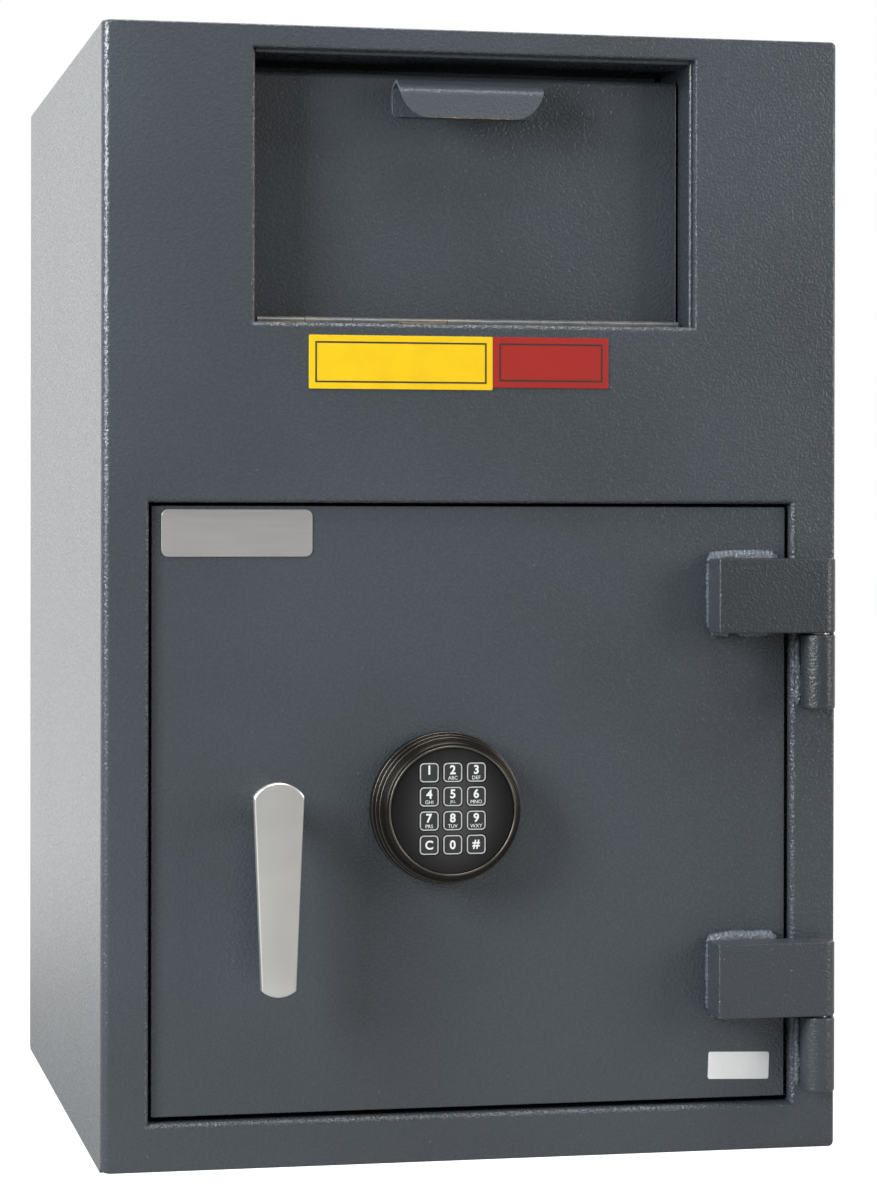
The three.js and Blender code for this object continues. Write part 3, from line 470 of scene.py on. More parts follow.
def rounded_edge_run(sides, radii, front, rear, way, corner=0.0):
    """A rectangle's outlines from front to rear, where each side's front edge has its own radius."""
    run = []
    for depth in EDGE_DEPTHS + (rear - front,):
        insets = [way * (radius - math.sqrt(radius ** 2 - max(0.0, radius - depth) ** 2)) for radius in radii]
        u0, u1, v0, v1 = sides
        run.append((front + depth, rectangle(u0 + insets[0], u1 - insets[1], v0 + insets[2], v1 - insets[3],
                                             corner, 5)))
    return run


low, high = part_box("front_plate")
bm = bmesh.new()
add_runs(bm, "y", [
    rounded_edge_run((low.x, high.x, low.z, high.z), FRONT_EDGES, low.y, high.y, 1, FRONT_CORNER),
    rounded_edge_run(deposit_opening, DEPOSIT_EDGES, low.y, high.y, -1),
    rounded_edge_run(doorway, DOORWAY_EDGES, low.y, high.y, -1)])
bm.normal_update()
# The faces of the left upright round get a much paler enamel: a painted highlight down that edge.
for face in bm.faces:
    at_left = face.calc_center_median().x < low.x + FRONT_EDGES[0]
    if at_left and HIGHLIGHT_NORMALS[0] < face.normal.x < HIGHLIGHT_NORMALS[1]:
        face.material_index = 1
    elif CUT_NORMALS[0] < face.normal.y < CUT_NORMALS[1]:
        face.material_index = 2
edge_highlight_enamel = make_enamel("grey_enamel_painted_highlight_edge", (0.28, 0.28), 4.4, 1.8)
edge_enamel = make_enamel("grey_enamel_on_cut_edge", (0.17, 0.20), 1.0, 2.2)
finished(bm, "front_skin", [enamel, edge_highlight_enamel, edge_enamel], "safe_body", "paint", "front_plate")


# Deposit tunnel
# Bent sheet welded behind the upper opening: soffit, jambs and sill, the strip that stops the hopper, the
# throat's shields and the toothed baffle that keeps a hand out.
JAMB_ROUND = 0.0022
JAMB_STEPS = 8

coat(enamel, "deposit_sill", "hopper_stop_strip", "throat_shield_left", "throat_shield_right",
     "toothed_baffle")
# Soffit and jambs get an enamel painted darker: painted shade inside the opening.
tunnel_shade_enamel = make_enamel("grey_enamel_tunnel_painted_shade", (0.26, 0.30), 0.6)
for node, name, along, inner_corner in (("deposit_soffit", "deposit_soffit_skin", "x", 3),
                                        ("deposit_jamb_left", "deposit_jamb_skin_left", "z", 0),
                                        ("deposit_jamb_right", "deposit_jamb_skin_right", "z", 3)):
    dressed_plate(node, name, tunnel_shade_enamel, "safe_body", "paint", along,
                  (JAMB_ROUND, JAMB_STEPS, (inner_corner,)))


# Hopper
# Bent sheet steel: the panel with its top flange, the sloping floor and two sides, spot-welded together.
# It swings out on a long hinge behind the sill.
PANEL_BEND = 0.0035
PANEL_FLANGE = 0.032
SHEET_EDGE = 0.0006


def across(heading):
    """The direction a quarter turn left of a heading."""
    return Vector((-heading.y, heading.x))


def folded_path(corners, radius, steps=10):
    """Places and headings along a sheet's middle line that is folded by one radius at each corner."""
    corners = [Vector(corner) for corner in corners]
    line = [(corners[0], (corners[1] - corners[0]).normalized())]
    for before, corner, after in zip(corners, corners[1:], corners[2:]):
        entering = (corner - before).normalized()
        leaving = (after - corner).normalized()
        turn = math.atan2(entering.x * leaving.y - entering.y * leaving.x, entering.dot(leaving))
        side = math.copysign(radius, turn)
        centre = corner - entering * radius * math.tan(abs(turn) / 2) + across(entering) * side
        for step in range(steps + 1):
            angle = turn * step / steps
            heading = entering * math.cos(angle) + across(entering) * math.sin(angle)
            line.append((centre - across(heading) * side, heading))
    line.append((corners[-1], leaving))
    return line


low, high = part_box("hopper_panel")
sheet = high.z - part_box("hopper_side_left")[1].z
middle_y = low.y + sheet / 2
middle_z = high.z - sheet / 2
panel_line = folded_path([(middle_y, low.z), (middle_y, middle_z), (low.y + PANEL_FLANGE, middle_z)],
                         PANEL_BEND)
panel_section = [place + across(heading) * sheet / 2 for place, heading in panel_line]
panel_section += [place - across(heading) * sheet / 2 for place, heading in panel_line[::-1]]
bm = bmesh.new()
add_prism(bm, "x", panel_section, edge_profile(low.x, high.x, SHEET_EDGE, SHEET_EDGE, 2))
# The panel's enamel is painted a little darker than the front's: painted shade for its place in the recess.
recess_shade_enamel = make_enamel("grey_enamel_panel_painted_shade", (0.29, 0.31), 0.88)
finished(bm, "hopper_panel_skin", [recess_shade_enamel], "hopper", "paint", "hopper_panel")
coat(enamel, "hopper_floor", "hopper_side_left", "hopper_side_right")


# Long hinge
# A piano hinge: rolled knuckles in turn on the sill's leaf and on the hopper's leaf, on one steel pin.
# Where deposits slide over the barrel, its enamel is worn through to bronze in streaks.
KNUCKLES = 9
HINGE_STEPS = 28
KNUCKLE_GAP = 0.0003
LEAF_SHEET = 0.002
LEAF_HEIGHT = 0.024
BARREL_BORE = 0.0019
MERGE_DISTANCE = 1e-6
SMOOTH_ANGLE = math.radians(34)
SOFT = (0.3, 0.7)
hinge_line = Vector((0, -0.2316, 0.5655))
floor_slope = math.radians(35)


def geometry_tree(name, inputs):
    """A new geometry node group with inputs (name, kind, value) after Geometry, and its two end nodes."""
    tree = bpy.data.node_groups.new(name, "GeometryNodeTree")
    tree.interface.new_socket("Geometry", in_out="INPUT", socket_type="NodeSocketGeometry")
    for label, kind, value in inputs:
        socket = tree.interface.new_socket(label, in_out="INPUT", socket_type="NodeSocket" + kind)
        if value is not None:
            socket.default_value = value
    tree.interface.new_socket("Geometry", in_out="OUTPUT", socket_type="NodeSocketGeometry")
    return tree, tree.nodes.new("NodeGroupInput"), tree.nodes.new("NodeGroupOutput")


def step_node(tree, kind, choice=None, **values):
    """The first output of a node with a choice (property, value) and the named inputs set or linked."""
    node = tree.nodes.new(kind)
    if choice:
        setattr(node, *choice)
    for label, value in values.items():
        feed(tree, node.inputs[label.replace("_", " ")], value)
    return node.outputs[0]


def joined(tree, *geometries):
    """Geometries joined to one."""
    join = tree.nodes.new("GeometryNodeJoinGeometry")
    for geometry in geometries:
        tree.links.new(geometry, join.inputs[0])
    return join.outputs[0]


def end_tree(tree, start, end, geometry):
    """Ends a tree in real geometry with its material on."""
    real = step_node(tree, "GeometryNodeRealizeInstances", Geometry=geometry)
    dressed = step_node(tree, "GeometryNodeSetMaterial", Geometry=real,
                        Material=start.outputs["Material"])
    tree.links.new(dressed, end.inputs[0])


def set_inputs(modifier, values):
    """Gives a modifier's named inputs their values."""
    for item in modifier.node_group.interface.items_tree:
        if item.in_out == "INPUT" and item.name in values:
            modifier[item.identifier] = values[item.name]


def evaluated(source):
    """The mesh that an object has after its modifiers. The object is removed."""
    graph = bpy.context.evaluated_depsgraph_get()
    made = bpy.data.meshes.new_from_object(source.evaluated_get(graph), depsgraph=graph)
    bpy.data.objects.remove(source)
    return made


def evaluated_mesh(tree, mesh, **values):
    """The plain mesh that a tree makes from a mesh and its named values."""
    source = placed("source", mesh)
    modifier = source.modifiers.new("shape", "NODES")
    modifier.node_group = tree
    set_inputs(modifier, values)
    return evaluated(source)


def grain(tree, scale, detail=1.0, roughness=0.5):
    """Noise by the object's coordinates. Three scales, one for each axis, make it run one way."""
    if isinstance(scale, tuple):
        return noise(tree, object_place(tree, scale), 1.0, detail, roughness)
    return noise(tree, object_place(tree), scale, detail, roughness)


def plain_finish(name, first, second, tone, limits=None, roughness=0.5, metallic=0.0, sheen=None,
                 relief=None):
    """A finish that drifts between two colours by a grain. Its sheen and relief can have grains too."""
    material, tree, shader = new_finish(name, roughness, metallic)
    drift = grain(tree, *tone)
    if limits:
        drift = spread(tree, drift, *limits)
    feed(tree, shader.inputs["Base Color"], tint(tree, drift, first, second))
    if sheen:
        feed(tree, shader.inputs["Roughness"], spread(tree, grain(tree, *sheen[0]), *sheen[1:]))
    if relief:
        raise_relief(tree, shader, grain(tree, *relief[0]), relief[1])
    return material


dark_steel = plain_finish(
    "black_oxide_steel", (0.035, 0.035, 0.038), (0.085, 0.085, 0.088), (28.0, 4.0, 0.6), SOFT, metallic=0.75,
    sheen=((28.0, 4.0, 0.6), 0.3, 0.75, 0.55, 0.36), relief=((900.0, 2.0), 0.00003))
turned_steel = plain_finish(
    "turned_steel", (0.62, 0.62, 0.61), (0.44, 0.43, 0.41), (45.0, 3.0), (0.35, 0.7), metallic=1.0,
    sheen=((45.0, 3.0), 0.3, 0.7, 0.22, 0.34), relief=(((2600.0, 60.0, 60.0), 3.0), 0.00002))

rubbed_enamel, tree, shader = new_finish("rubbed_enamel", 0.36)
tone = grain(tree, 190.0, 3.0)
streaks = spread(tree, grain(tree, (14.0, 300.0, 900.0), 3.0, 0.6), 0.56, 0.66)
painted = tint(tree, spread(tree, tone, *SOFT), (0.050, 0.052, 0.053), (0.085, 0.086, 0.084))
feed(tree, shader.inputs["Base Color"], tint(tree, streaks, painted, (0.30, 0.18, 0.06)))
raise_relief(tree, shader, tone, 0.0002)

tree, start, end = geometry_tree("knuckle_row", [
    ("Count", "Int", 5), ("Pitch", "Float", 0.06), ("Length", "Float", 0.03), ("Radius", "Float", 0.0035),
    ("Bore", "Float", BARREL_BORE), ("Steps", "Int", HINGE_STEPS), ("Material", "Material", None)])
value = start.outputs
offset = step_node(tree, "ShaderNodeCombineXYZ", X=value["Pitch"])
line = step_node(tree, "GeometryNodeMeshLine", Count=value["Count"], Offset=offset)
rings = [step_node(tree, "GeometryNodeCurvePrimitiveCircle", Resolution=value["Steps"],
                   Radius=value[label]) for label in ("Radius", "Bore")]
washer = step_node(tree, "GeometryNodeFillCurve", Curve=joined(tree, *rings))
rise = step_node(tree, "ShaderNodeCombineXYZ", Z=1.0)
tube = step_node(tree, "GeometryNodeExtrudeMesh", Mesh=washer, Offset=rise,
                 Offset_Scale=value["Length"], Individual=False)
back = step_node(tree, "GeometryNodeFlipFaces", Mesh=washer)
welded = step_node(tree, "GeometryNodeMergeByDistance", Distance=MERGE_DISTANCE,
                   Geometry=joined(tree, tube, back))
turned = step_node(tree, "GeometryNodeTransform", Geometry=welded,
                   Rotation=(0, QUARTER, 0))
row = step_node(tree, "GeometryNodeInstanceOnPoints", Points=line,
                Instance=turned)
end_tree(tree, start, end, row)
knuckle_row = tree

low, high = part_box("hopper_hinge_sill_leaf")
barrel_radius = high.z - hinge_line.z
pitch = (high.x - low.x + KNUCKLE_GAP) / KNUCKLES
down = Vector((math.cos(floor_slope), -math.sin(floor_slope)))
above = Vector((math.sin(floor_slope), math.cos(floor_slope)))
axis_point = Vector((hinge_line.y, hinge_line.z))
leaf_top = barrel_radius - KNUCKLE_GAP / 3
leaf_start = barrel_radius + LEAF_SHEET


def leaf_strip(first, last):
    """The hopper's leaf in section, between two reaches down the floor's slope."""
    return [axis_point + down * reach + above * rise for reach, rise in (
        (first, leaf_top - LEAF_SHEET), (last, leaf_top - LEAF_SHEET), (last, leaf_top), (first, leaf_top))]


apron = rectangle(low.y, low.y + LEAF_SHEET, low.z, hinge_line.z - barrel_radius * 0.75)
for name, first, body, section in (("sill", 0, "safe_body", apron),
                                   ("panel", 1, "hopper", leaf_strip(leaf_start, leaf_start + LEAF_HEIGHT))):
    bm = bmesh.new()
    add_prism(bm, "x", section, edge_profile(low.x, high.x))
    if name == "panel":
        for i in range(first, KNUCKLES, 2):
            knuckle_start = low.x + i * pitch
            add_prism(bm, "x", leaf_strip(BARREL_BORE, leaf_start + LEAF_SHEET),
                      edge_profile(knuckle_start, knuckle_start + pitch - KNUCKLE_GAP))
    row = evaluated_mesh(knuckle_row, bpy.data.meshes.new("row"), Count=(KNUCKLES + 1 - first) // 2,
                         Pitch=2 * pitch, Length=pitch - KNUCKLE_GAP, Radius=barrel_radius,
                         Bore=BARREL_BORE, Material=rubbed_enamel)
    row.transform(Matrix.Translation((low.x + first * pitch, hinge_line.y, hinge_line.z)))
    bm.from_mesh(row)
    finished(bm, name + "_hinge_leaf", [rubbed_enamel], body, "dark_steel", "hopper_hinge_" + name + "_leaf")

tree, start, end = geometry_tree("smooth_rounds", [
    ("Angle", "Float", SMOOTH_ANGLE), ("Material", "Material", None)])
merged = step_node(tree, "GeometryNodeMergeByDistance", Geometry=start.outputs["Geometry"],
                   Distance=MERGE_DISTANCE)
smooth = step_node(tree, "GeometryNodeSetShadeSmooth", Geometry=merged, Shade_Smooth=True)
angle = tree.nodes.new("GeometryNodeInputMeshEdgeAngle")
steep = step_node(tree, "FunctionNodeCompare", ("operation", "GREATER_THAN"),
                  A=angle.outputs["Unsigned Angle"], B=start.outputs["Angle"])
crisp = step_node(tree, "GeometryNodeSetShadeSmooth", ("domain", "EDGE"), Geometry=smooth,
                  Selection=steep, Shade_Smooth=False)
end_tree(tree, start, end, crisp)
smooth_rounds = tree


def coat_round(material, *names):
    """Gives a finish to frame nodes with round forms, whose facets are shaded smooth."""
    coat(material, *names)
    for name in names:
        modifier = nodes[name].modifiers.new("smooth_rounds", "NODES")
        modifier.node_group = smooth_rounds
        set_inputs(modifier, {"Material": material})


coat_round(turned_steel, "hopper_hinge_pin")
coat(dark_steel, "hopper_rest_bar")


# Pull
# One blank of sheet spot-welded to the panel, folded forward over a crest into a lip. The lip's corners
# are large quarter ellipses, and its lower edge is rubbed down to bronze by fingers.
PULL_SHEET = 0.002
PULL_BEND = 0.0045
PULL_BEND_STEPS = 7
PULL_PLATE_RISE = 0.003
PULL_PLATE_HEIGHT = 0.0195
PULL_CREST_RISE = 0.0035
PULL_CREST_REACH = 0.015
PULL_LIP_REACH = 0.025
PULL_LIP_DROP = 0.0047
PULL_PLATE_ROUND = 0.004
PULL_PLATE_POINTS = 10
PULL_ROUND_WIDTH = 0.021
PULL_ROUND_HEIGHT = 0.025
PULL_COLUMNS = 28
LIP_ROWS = 16
PLATE_ROWS = 6
RUBBED_ROWS = 2
PULL_SHARP = 50

low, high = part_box("hopper_pull")
panel_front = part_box("hopper_panel")[0].y
centre_x = (low.x + high.x) / 2
half_width = (high.x - low.x) / 2
lip_bottom = low.z
plate_bottom = lip_bottom + PULL_PLATE_RISE
plate_top = plate_bottom + PULL_PLATE_HEIGHT
plate_y = panel_front - PULL_SHEET / 2
lip_y = panel_front - PULL_LIP_REACH
fold = folded_path([(plate_y, plate_bottom), (plate_y, plate_top),
                    (panel_front - PULL_CREST_REACH, plate_top + PULL_CREST_RISE),
                    (lip_y, plate_top - PULL_LIP_DROP), (lip_y, lip_bottom)], PULL_BEND, PULL_BEND_STEPS)


def quarter_inset(rise, width, height):
    """How far an elliptic corner stands in from the side at a rise above the bottom edge."""
    if rise >= height:
        return 0.0
    return width * (1 - math.sqrt(max(0.0, 1 - ((height - rise) / height) ** 2)))


rows = []
for step in range(PLATE_ROWS + 1):
    rise = PULL_PLATE_ROUND * (1 - math.cos(QUARTER * step / PLATE_ROWS))
    rows.append((Vector((plate_y, plate_bottom + rise)), fold[0][1], True))
rows += [(place, heading, index < PULL_PLATE_POINTS) for index, (place, heading) in enumerate(fold)][1:-1]
for step in range(1, LIP_ROWS + 1):
    rise = (fold[-2][0].y - lip_bottom) * (1 - math.sin(QUARTER * step / LIP_ROWS))
    rows.append((Vector((lip_y, lip_bottom + rise)), fold[-1][1], False))
bm = bmesh.new()
front, rear = sides = ([], [])
for place, heading, in_plate in rows:
    if in_plate:
        inset = quarter_inset(place.y - plate_bottom, PULL_PLATE_ROUND, PULL_PLATE_ROUND)
    else:
        inset = quarter_inset(place.y - lip_bottom, PULL_ROUND_WIDTH, PULL_ROUND_HEIGHT)
    shift = across(heading) * PULL_SHEET / 2
    for side, point in zip(sides, (place + shift, place - shift)):
        side.append([bm.verts.new((centre_x + (half_width - inset) * (2 * i / PULL_COLUMNS - 1),
                                   point.x, point.y)) for i in range(PULL_COLUMNS + 1)])
for side in sides:
    for j, (row, following) in enumerate(zip(side, side[1:])):
        for i in range(PULL_COLUMNS):
            face = bm.faces.new((row[i], row[i + 1], following[i + 1], following[i]))
            face.material_index = int(side is rear and j >= len(rows) - 1 - RUBBED_ROWS)
for i in range(PULL_COLUMNS):
    bm.faces.new((front[0][i], front[0][i + 1], rear[0][i + 1], rear[0][i]))
    worn_face = bm.faces.new((front[-1][i], front[-1][i + 1], rear[-1][i + 1], rear[-1][i]))
    worn_face.material_index = 1
for j in range(len(rows) - 1):
    for i in (0, PULL_COLUMNS):
        cut_face = bm.faces.new((front[j][i], front[j + 1][i], rear[j + 1][i], rear[j][i]))
        cut_face.material_index = 2
pull_enamel = make_enamel("grey_enamel_pull", (0.38, 0.42), 1.1)
rubbed = plain_finish("rubbed_edge", (0.07, 0.065, 0.055), (0.30, 0.19, 0.055), (160.0, 3.0), (0.25, 0.6),
                      roughness=0.38, metallic=0.6)
# The sheet's cut ends get a much paler enamel: a painted highlight along them.
pull_end_highlight_enamel = make_enamel("grey_enamel_pull_end_painted_highlight", (0.24, 0.28), 2.6)
pull = finished(bm, "pull", [pull_enamel, rubbed, pull_end_highlight_enamel], "hopper", "paint", "hopper_pull",
                sharp=PULL_SHARP, even=False)
edge_round = pull.modifiers.new("edge_round", "BEVEL")
edge_round.width = 0.0004
edge_round.segments = 2
edge_round.limit_method = "ANGLE"
edge_round.angle_limit = math.radians(PULL_SHARP)
edge_round.harden_normals = True


# Plates under the sill
# Two laminated signs, bare but for a thin printed line, stuck on side by side. The laminate is an even
# colour under a satin film with a faint ripple.
SIGN_EDGE = 0.0003
SIGN_CORNER = 0.0008
LINE_INSET = 0.0042
LINE_WIDTH = 0.0012
LINE_RISE = 0.00004

ink = plain_finish("black_ink", (0.012, 0.011, 0.009), (0.04, 0.035, 0.025), (400.0, 2.0), roughness=0.4)
for colour_name, colour in (("yellow", (0.80, 0.50, 0.007)), ("red", (0.33, 0.020, 0.015))):
    dark = tuple(channel * 0.93 for channel in colour)
    laminate = plain_finish(colour_name + "_laminate", dark, colour, (60.0, 3.0), SOFT, roughness=0.34,
                            relief=((150.0, 2.0), 0.00002))
    node = colour_name + "_plate"
    low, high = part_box(node)
    bm = bmesh.new()
    add_prism(bm, "y", rectangle(low.x, high.x, low.z, high.z, SIGN_CORNER, 3),
              edge_profile(low.y + LINE_RISE, high.y, SIGN_EDGE, 0, 2))
    laminate_faces = len(bm.faces)
    outer = rectangle(low.x + LINE_INSET, high.x - LINE_INSET, low.z + LINE_INSET, high.z - LINE_INSET)
    add_prism(bm, "y", outer, edge_profile(low.y, low.y + 2 * LINE_RISE), [inset_outline(outer, LINE_WIDTH)])
    bm.faces.ensure_lookup_table()
    for face in bm.faces[laminate_faces:]:
        face.material_index = 1
    finished(bm, colour_name + "_sign", [laminate, ink], "safe_body", node, node)


# Door
# A 12.7 mm plate in a frame of flat bar, with edges that are only just broken. The spindle and the
# keypad's cable pass through it.
DOOR_EDGE = 0.0007
DOOR_CORNER = 0.0008
SPINDLE_HOLE = 0.0073
CABLE_HOLE = 0.007
BORE_STEPS = 40
spindle = Vector((-0.141, 0.243))
keypad = Vector((-0.021, 0.238))

coat(enamel, "door_frame")
dressed_plate("door_plate", "door_skin", enamel, "door", "paint", "y", (DOOR_CORNER, 3),
              (DOOR_EDGE, DOOR_EDGE),
              [circle(*spindle, SPINDLE_HOLE, BORE_STEPS), circle(*keypad, CABLE_HOLE, BORE_STEPS)])
coat(dark_steel, "dead_bar")


# Hinges of the door
# Sawn 25 mm bar with a rounded nose, arc-welded to the door, turning on a pin in a knuckle of round bar
# that is welded to the front plate. The enamel lies thick over the welds.
NOSE_STEPS = 28
BAR_EDGE = 0.0014
NOSE_SETBACK = 0.0028
# Each hinge's leaf and knuckle enamel is darkened by its own amount, the upper more: painted shade.
LEAF_PAINTED_SHADES = {"upper": 0.56, "lower": 0.80}
LEAF_LENGTH = 0.0757
WELD_RADIUS = 0.0046
WELD_STEP = 0.0009
WELD_RIPPLE = 0.0032
WELD_SHARP = 60
RIPPLE_SHARE = 0.045
LUMP_HEIGHT = 0.0022
BEAD_STEPS = 18
GROOVE_DEPTH = 0.0034
PIN_BORE = 0.00665
PAD_INSET = 0.003
PAD_END = 0.0245
FOOT_REACH = 0.0058
FOOT_INSET = 0.001
axis = Vector((0.2385, -0.2672))
left_x = axis.x - LEAF_LENGTH
door_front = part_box("door_plate")[0].y
door_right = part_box("door_plate")[1].x
plate_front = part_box("front_plate")[0].y
# The enamel over the welds is painted much paler: a painted highlight where the beads face the light from
# above.
weld_highlight_enamel = make_enamel("grey_enamel_over_weld_painted_highlight", (0.20, 0.24), 1.9, 2.5, 500.0)

# Beads along a bar's edges: radius, unevenness, and points of reach along X, whether from the bar's top,
# and rise.
LEAF_BEADS = [
    (0.0051, 0.4, [(left_x + 0.0006, True, -0.0028), (left_x + 0.0060, True, -0.0006),
                   (left_x + 0.016, True, 0.0006), (left_x + 0.034, True, 0.0005),
                   (left_x + 0.0490, True, 0.0001)]),
    (0.0050, 0.5, [(left_x + 0.0046, True, -0.001), (left_x + 0.0041, True, -0.02),
                   (left_x + 0.0046, True, -0.034), (left_x + 0.0048, False, 0.001)]),
    (0.0038, 0.7, [(left_x + 0.003, False, 0.0012), (left_x + 0.0155, False, 0.0004)]),
    (0.0036, 0.7, [(left_x + 0.0215, False, 0.0004), (left_x + 0.03, False, -0.0002),
                   (door_right - 0.009, False, 0.0014)]),
]
KNUCKLE_BEAD_RADIUS = 0.0026
KNUCKLE_BEAD = [(0.0, False, 0.0015), (0.0004, False, 0.02), (-0.0003, False, 0.035), (0.0, True, -0.0015)]

tree, start, end = geometry_tree("weld_bead", [
    ("Radius", "Float", WELD_RADIUS), ("Step", "Float", WELD_STEP), ("Ripple", "Float", WELD_RIPPLE),
    ("Unevenness", "Float", 0.4), ("Seed", "Float", 1.0), ("Material", "Material", None)])
value = start.outputs
curve = step_node(tree, "GeometryNodeMeshToCurve", Mesh=value["Geometry"])
even = step_node(tree, "GeometryNodeResampleCurve", ("mode", "LENGTH"), Curve=curve,
                 Length=value["Step"])
along = tree.nodes.new("GeometryNodeSplineParameter").outputs
seed_vector = step_node(tree, "ShaderNodeCombineXYZ", X=value["Seed"], Y=value["Seed"])
shifted = tree.nodes.new("ShaderNodeVectorMath")
feed(tree, shifted.inputs[0], tree.nodes.new("GeometryNodeInputPosition").outputs[0])
feed(tree, shifted.inputs[1], seed_vector)
broad = calculate(tree, "SUBTRACT", noise(tree, shifted.outputs[0], 130.0, 2.0), 0.5)
phase = calculate(tree, "DIVIDE", along["Length"], value["Ripple"])
wave = calculate(tree, "SINE", calculate(tree, "MULTIPLY", phase, 4 * QUARTER))
swell = calculate(tree, "MULTIPLY_ADD", broad, value["Unevenness"], 1.0)
swell = calculate(tree, "MULTIPLY_ADD", wave, RIPPLE_SHARE, swell)
to_end = calculate(tree, "MINIMUM", along["Factor"], calculate(tree, "SUBTRACT", 1.0, along["Factor"]))
taper = spread(tree, to_end, 0.0, 0.07, 0.45, 1.0)
bead_radius = calculate(tree, "MULTIPLY", calculate(tree, "MULTIPLY", swell, taper), value["Radius"])
profile = step_node(tree, "GeometryNodeCurvePrimitiveCircle", Resolution=BEAD_STEPS, Radius=1.0)
tube = step_node(tree, "GeometryNodeCurveToMesh", Curve=even,
                 Profile_Curve=profile, Scale=bead_radius, Fill_Caps=True)
lumps = calculate(tree, "SUBTRACT", noise(tree, shifted.outputs[0], 420.0, 2.0), 0.5)
normal = tree.nodes.new("GeometryNodeInputNormal").outputs[0]
push = step_node(tree, "ShaderNodeVectorMath", ("operation", "SCALE"), Vector=normal,
                 Scale=calculate(tree, "MULTIPLY", lumps, LUMP_HEIGHT))
moved = step_node(tree, "GeometryNodeSetPosition", Geometry=tube, Offset=push)
smooth = step_node(tree, "GeometryNodeSetShadeSmooth", Geometry=moved, Shade_Smooth=True)
end_tree(tree, start, end, smooth)
weld_bead = tree


def add_weld(bm, box, depth, points, radius, unevenness, seed):
    """Adds a bead to a bmesh, along points (place along X, whether from the box's top, rise)."""
    path = bpy.data.meshes.new("weld_path")
    path.from_pydata([(x, depth, box[from_top].z + rise) for x, from_top, rise in points],
                     [(i, i + 1) for i in range(len(points) - 1)], [])
    bm.from_mesh(evaluated_mesh(weld_bead, path, Radius=radius, Seed=float(seed), Unevenness=unevenness,
                                Material=weld_highlight_enamel))


for seed, side in enumerate(("lower", "upper")):
    low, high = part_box("hinge_leaf_" + side)
    radius = high.x - axis.x
    bar = [Vector((left_x, axis.y + radius))]
    bar += arc(left_x + BAR_EDGE, axis.y + BAR_EDGE - radius, BAR_EDGE, 2 * QUARTER, 4)
    bar += [Vector((axis.x + point.x * (1 - NOSE_SETBACK / radius), axis.y + point.y))
            for point in arc(0, 0, radius, -QUARTER, NOSE_STEPS, 2 * QUARTER)]
    bm = bmesh.new()
    add_prism(bm, "z", bar, edge_profile(low.z, high.z, BAR_EDGE, BAR_EDGE, 2),
              [circle(*axis, PIN_BORE, BORE_STEPS)], edge_profile(low.z, high.z))
    add_prism(bm, "z", rectangle(left_x + PAD_INSET, axis.x - PAD_END, axis.y, door_front),
              edge_profile(low.z + PAD_INSET, high.z - PAD_INSET))
    bm.normal_update()
    for face in bm.faces:
        at_left = face.calc_center_median().x < low.x + BAR_EDGE
        face.material_index = int(at_left and abs(face.normal.x) > 0.2)
    shaded_leaf_enamel = make_enamel("grey_enamel_leaf_painted_shade_" + side, (0.36, 0.36), LEAF_PAINTED_SHADES[side])
    finished(bm, "leaf_" + side, [shaded_leaf_enamel, edge_enamel], "door", "paint", "hinge_leaf_" + side)

    bm = bmesh.new()
    for number, (bead, unevenness, points) in enumerate(LEAF_BEADS):
        add_weld(bm, (low, high), door_front - GROOVE_DEPTH, points, bead, unevenness,
                 3 + number + 5 * seed)
    finished(bm, "leaf_weld_" + side, [weld_highlight_enamel], "door", "paint", sharp=WELD_SHARP, even=False)

    low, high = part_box("hinge_knuckle_" + side)
    radius = high.x - axis.x
    barrel = circle(0, 0, radius, 2 * NOSE_STEPS)
    for point in barrel:
        if point.x > 0:
            point.x *= 1 - NOSE_SETBACK / radius
        point += axis
    bm = bmesh.new()
    add_prism(bm, "z", barrel, edge_profile(low.z, high.z, BAR_EDGE, BAR_EDGE, 2))
    foot = [Vector((axis.x - radius + FOOT_REACH * 0.35, plate_front)),
            axis + Vector((-0.72, 0.5)) * radius, axis + Vector((0.6, 0.5)) * radius,
            Vector((axis.x + radius - FOOT_REACH, plate_front))]
    add_prism(bm, "z", foot, edge_profile(low.z + FOOT_INSET, high.z - FOOT_INSET))
    finished(bm, "knuckle_" + side, [shaded_leaf_enamel], "safe_body", "paint", "hinge_knuckle_" + side)

    bm = bmesh.new()
    for number, x in enumerate((axis.x - 0.0112, axis.x + 0.0078)):
        points = [(x + reach, from_top, rise) for reach, from_top, rise in KNUCKLE_BEAD]
        add_weld(bm, (low, high), plate_front, points, KNUCKLE_BEAD_RADIUS, 0.3, 20 + 7 * seed + number)
    finished(bm, "knuckle_weld_" + side, [weld_highlight_enamel], "safe_body", "paint", sharp=WELD_SHARP,
             even=False)
coat_round(turned_steel, "hinge_pin_upper", "hinge_pin_lower")


# Bolt work and lock
# Behind the door: turned bolts in a guide of flat bar, a dark bar that carries them, a crank on the
# lever's spindle, and a case with its swing bolt. The case is zinc, shot-blasted and lacquered satin grey.
satin_metal = plain_finish(
    "satin_metal", (0.60, 0.58, 0.545), (0.66, 0.64, 0.60), (22.0, 2.0), SOFT, metallic=0.7,
    sheen=(((420.0, 420.0, 7.0), 3.0, 0.6), 0.3, 0.7, 0.30, 0.34), relief=((1500.0, 2.0, 0.6), 0.00002))
coat_round(dark_steel, "bolt_guide", "bolt_bar", "spindle_and_crank")
coat_round(turned_steel, "bolt_lower", "bolt_middle", "bolt_upper", "swing_bolt")
coat_round(satin_metal, "lock_case")


